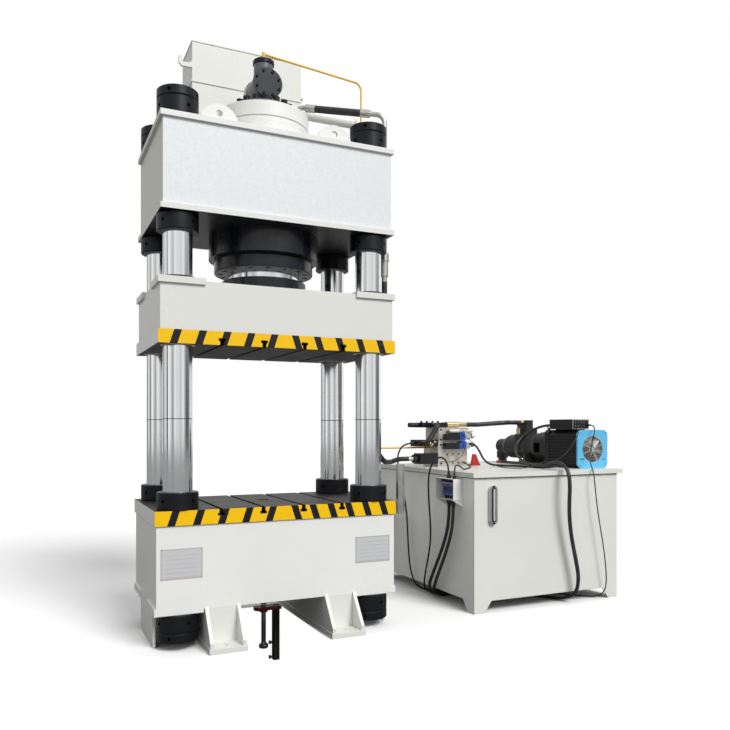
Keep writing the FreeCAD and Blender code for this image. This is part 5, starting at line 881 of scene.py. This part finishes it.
def plane(name, corners, shade):
    mesh = bpy.data.meshes.new(name)
    mesh.from_pydata(corners, [], [tuple(range(len(corners)))])
    made = bpy.data.objects.new(name, mesh)
    bpy.context.scene.collection.objects.link(made)
    mesh.materials.append(shade)


def greyOf(level):
    return (level, level, level)


def stageMaterial(name):
    made = bpy.data.materials.new(name)
    made.use_nodes = True
    start = Wire(made.node_tree)
    return made, start, made.node_tree.nodes["Material Output"].inputs["Surface"]


def floorShade(name, levels):  # one level for the camera, one for reflections, one for light thrown back
    made, start, surface = stageMaterial(name)
    seen = start.node("ShaderNodeLightPath", out=0)
    mirrored = start.node("ShaderNodeLightPath", out=3)
    others = mirrored.mix(greyOf(levels["thrown"]), greyOf(levels["mirrored"]))
    colour = seen.mix(others, greyOf(levels["seen"]))
    start.feed(surface, start.node("ShaderNodeBsdfDiffuse", None, {"Color": colour}))
    return made


def pitShade(name, level):  # white to the camera, dark to everything else
    made, start, surface = stageMaterial(name)
    seen = start.node("ShaderNodeLightPath", out=0)
    glow = start.node("ShaderNodeEmission", None, {"Color": greyOf(1), "Strength": 1.0})
    dark = start.node("ShaderNodeBsdfDiffuse", None, {"Color": greyOf(level)})
    start.feed(surface, start.node("ShaderNodeMixShader", None, {0: seen, 1: dark, 2: glow}))
    return made


ground = {"far": 40.0, "levels": {"seen": 0.95, "mirrored": 0.28, "thrown": 0.19}}
pit = {"left": -0.29, "right": 0.29, "front": -1.15, "rear": 0.5, "floor": -0.8, "level": 0.10}
far = ground["far"]
left, right, front, rear, deep = pit["left"], pit["right"], pit["front"], pit["rear"], pit["floor"]
slabs = {"groundLeft": ((-far, -far), (left, far)), "groundRight": ((right, -far), (far, far)),
         "groundFront": ((left, -far), (right, front)), "groundRear": ((left, rear), (right, far))}
walls = {"pitWallRear": ((left, rear), (right, rear)), "pitWallFront": ((left, front), (right, front)),
         "pitWallLeft": ((left, front), (left, rear)), "pitWallRight": ((right, front), (right, rear))}
groundShade = floorShade("ground", ground["levels"])
pitWall = pitShade("pitWall", pit["level"])
for name, ((x0, y0), (x1, y1)) in slabs.items():
    plane(name, [(x0, y0, 0), (x1, y0, 0), (x1, y1, 0), (x0, y1, 0)], groundShade)
pitFloor = [(left, front, deep), (right, front, deep), (right, rear, deep), (left, rear, deep)]
plane("pitFloor", pitFloor, pitWall)
for name, ((x0, y0), (x1, y1)) in walls.items():
    plane(name, [(x0, y0, deep), (x1, y1, deep), (x1, y1, 0), (x0, y0, 0)], pitWall)

daylight = {"strength": 2.6, "spread": 26.0, "height": 42.0, "side": 15.0,  # degrees; side is towards +x
            "place": (2.0, -6.0, 7.0)}
sunData = bpy.data.lights.new("daylight", "SUN")
sunData.energy = daylight["strength"]
sunData.angle = math.radians(daylight["spread"])
sun = bpy.data.objects.new("daylight", sunData)
sun.location = daylight["place"]
sun.rotation_euler = (math.radians(90 - daylight["height"]), 0, math.radians(daylight["side"]))
bpy.context.scene.collection.objects.link(sun)

# The hall: an even light, but mirrored metal sees bright and dark bays round it and a paler roof
hall = {"all": 0.60, "gaps": (0.10, 1.05), "roof": 0.80}
world = bpy.data.worlds.new("hall")
bpy.context.scene.world = world
world.use_nodes = True
sky = Wire(world.node_tree)
across, away, up = sky.parts(sky.node("ShaderNodeTexCoord", out=0))
bays = sky.node("ShaderNodeTexNoise", {"noise_dimensions": "1D"},
                {"W": sky.maths("ARCTAN2", away, across) * 1.1, "Scale": 1.0, "Detail": 0.6})
wall = bays.ramp(0.34, 0.60, *hall["gaps"])
height = up.ramp(-0.05, 0.55)
mirrored = (1 - height) * wall + height * hall["roof"]
glossy = sky.node("ShaderNodeLightPath", out=3)
level = glossy * mirrored + (1 - glossy) * hall["all"]
seen = sky.node("ShaderNodeLightPath", out=0)
final = seen.mix(level.mix(greyOf(0), greyOf(1)), greyOf(1))
background = sky.node("ShaderNodeBackground", None, {"Color": final, "Strength": 1.0})
sky.feed(world.node_tree.nodes["World Output"].inputs["Surface"], background)
print("stage and lamp set")
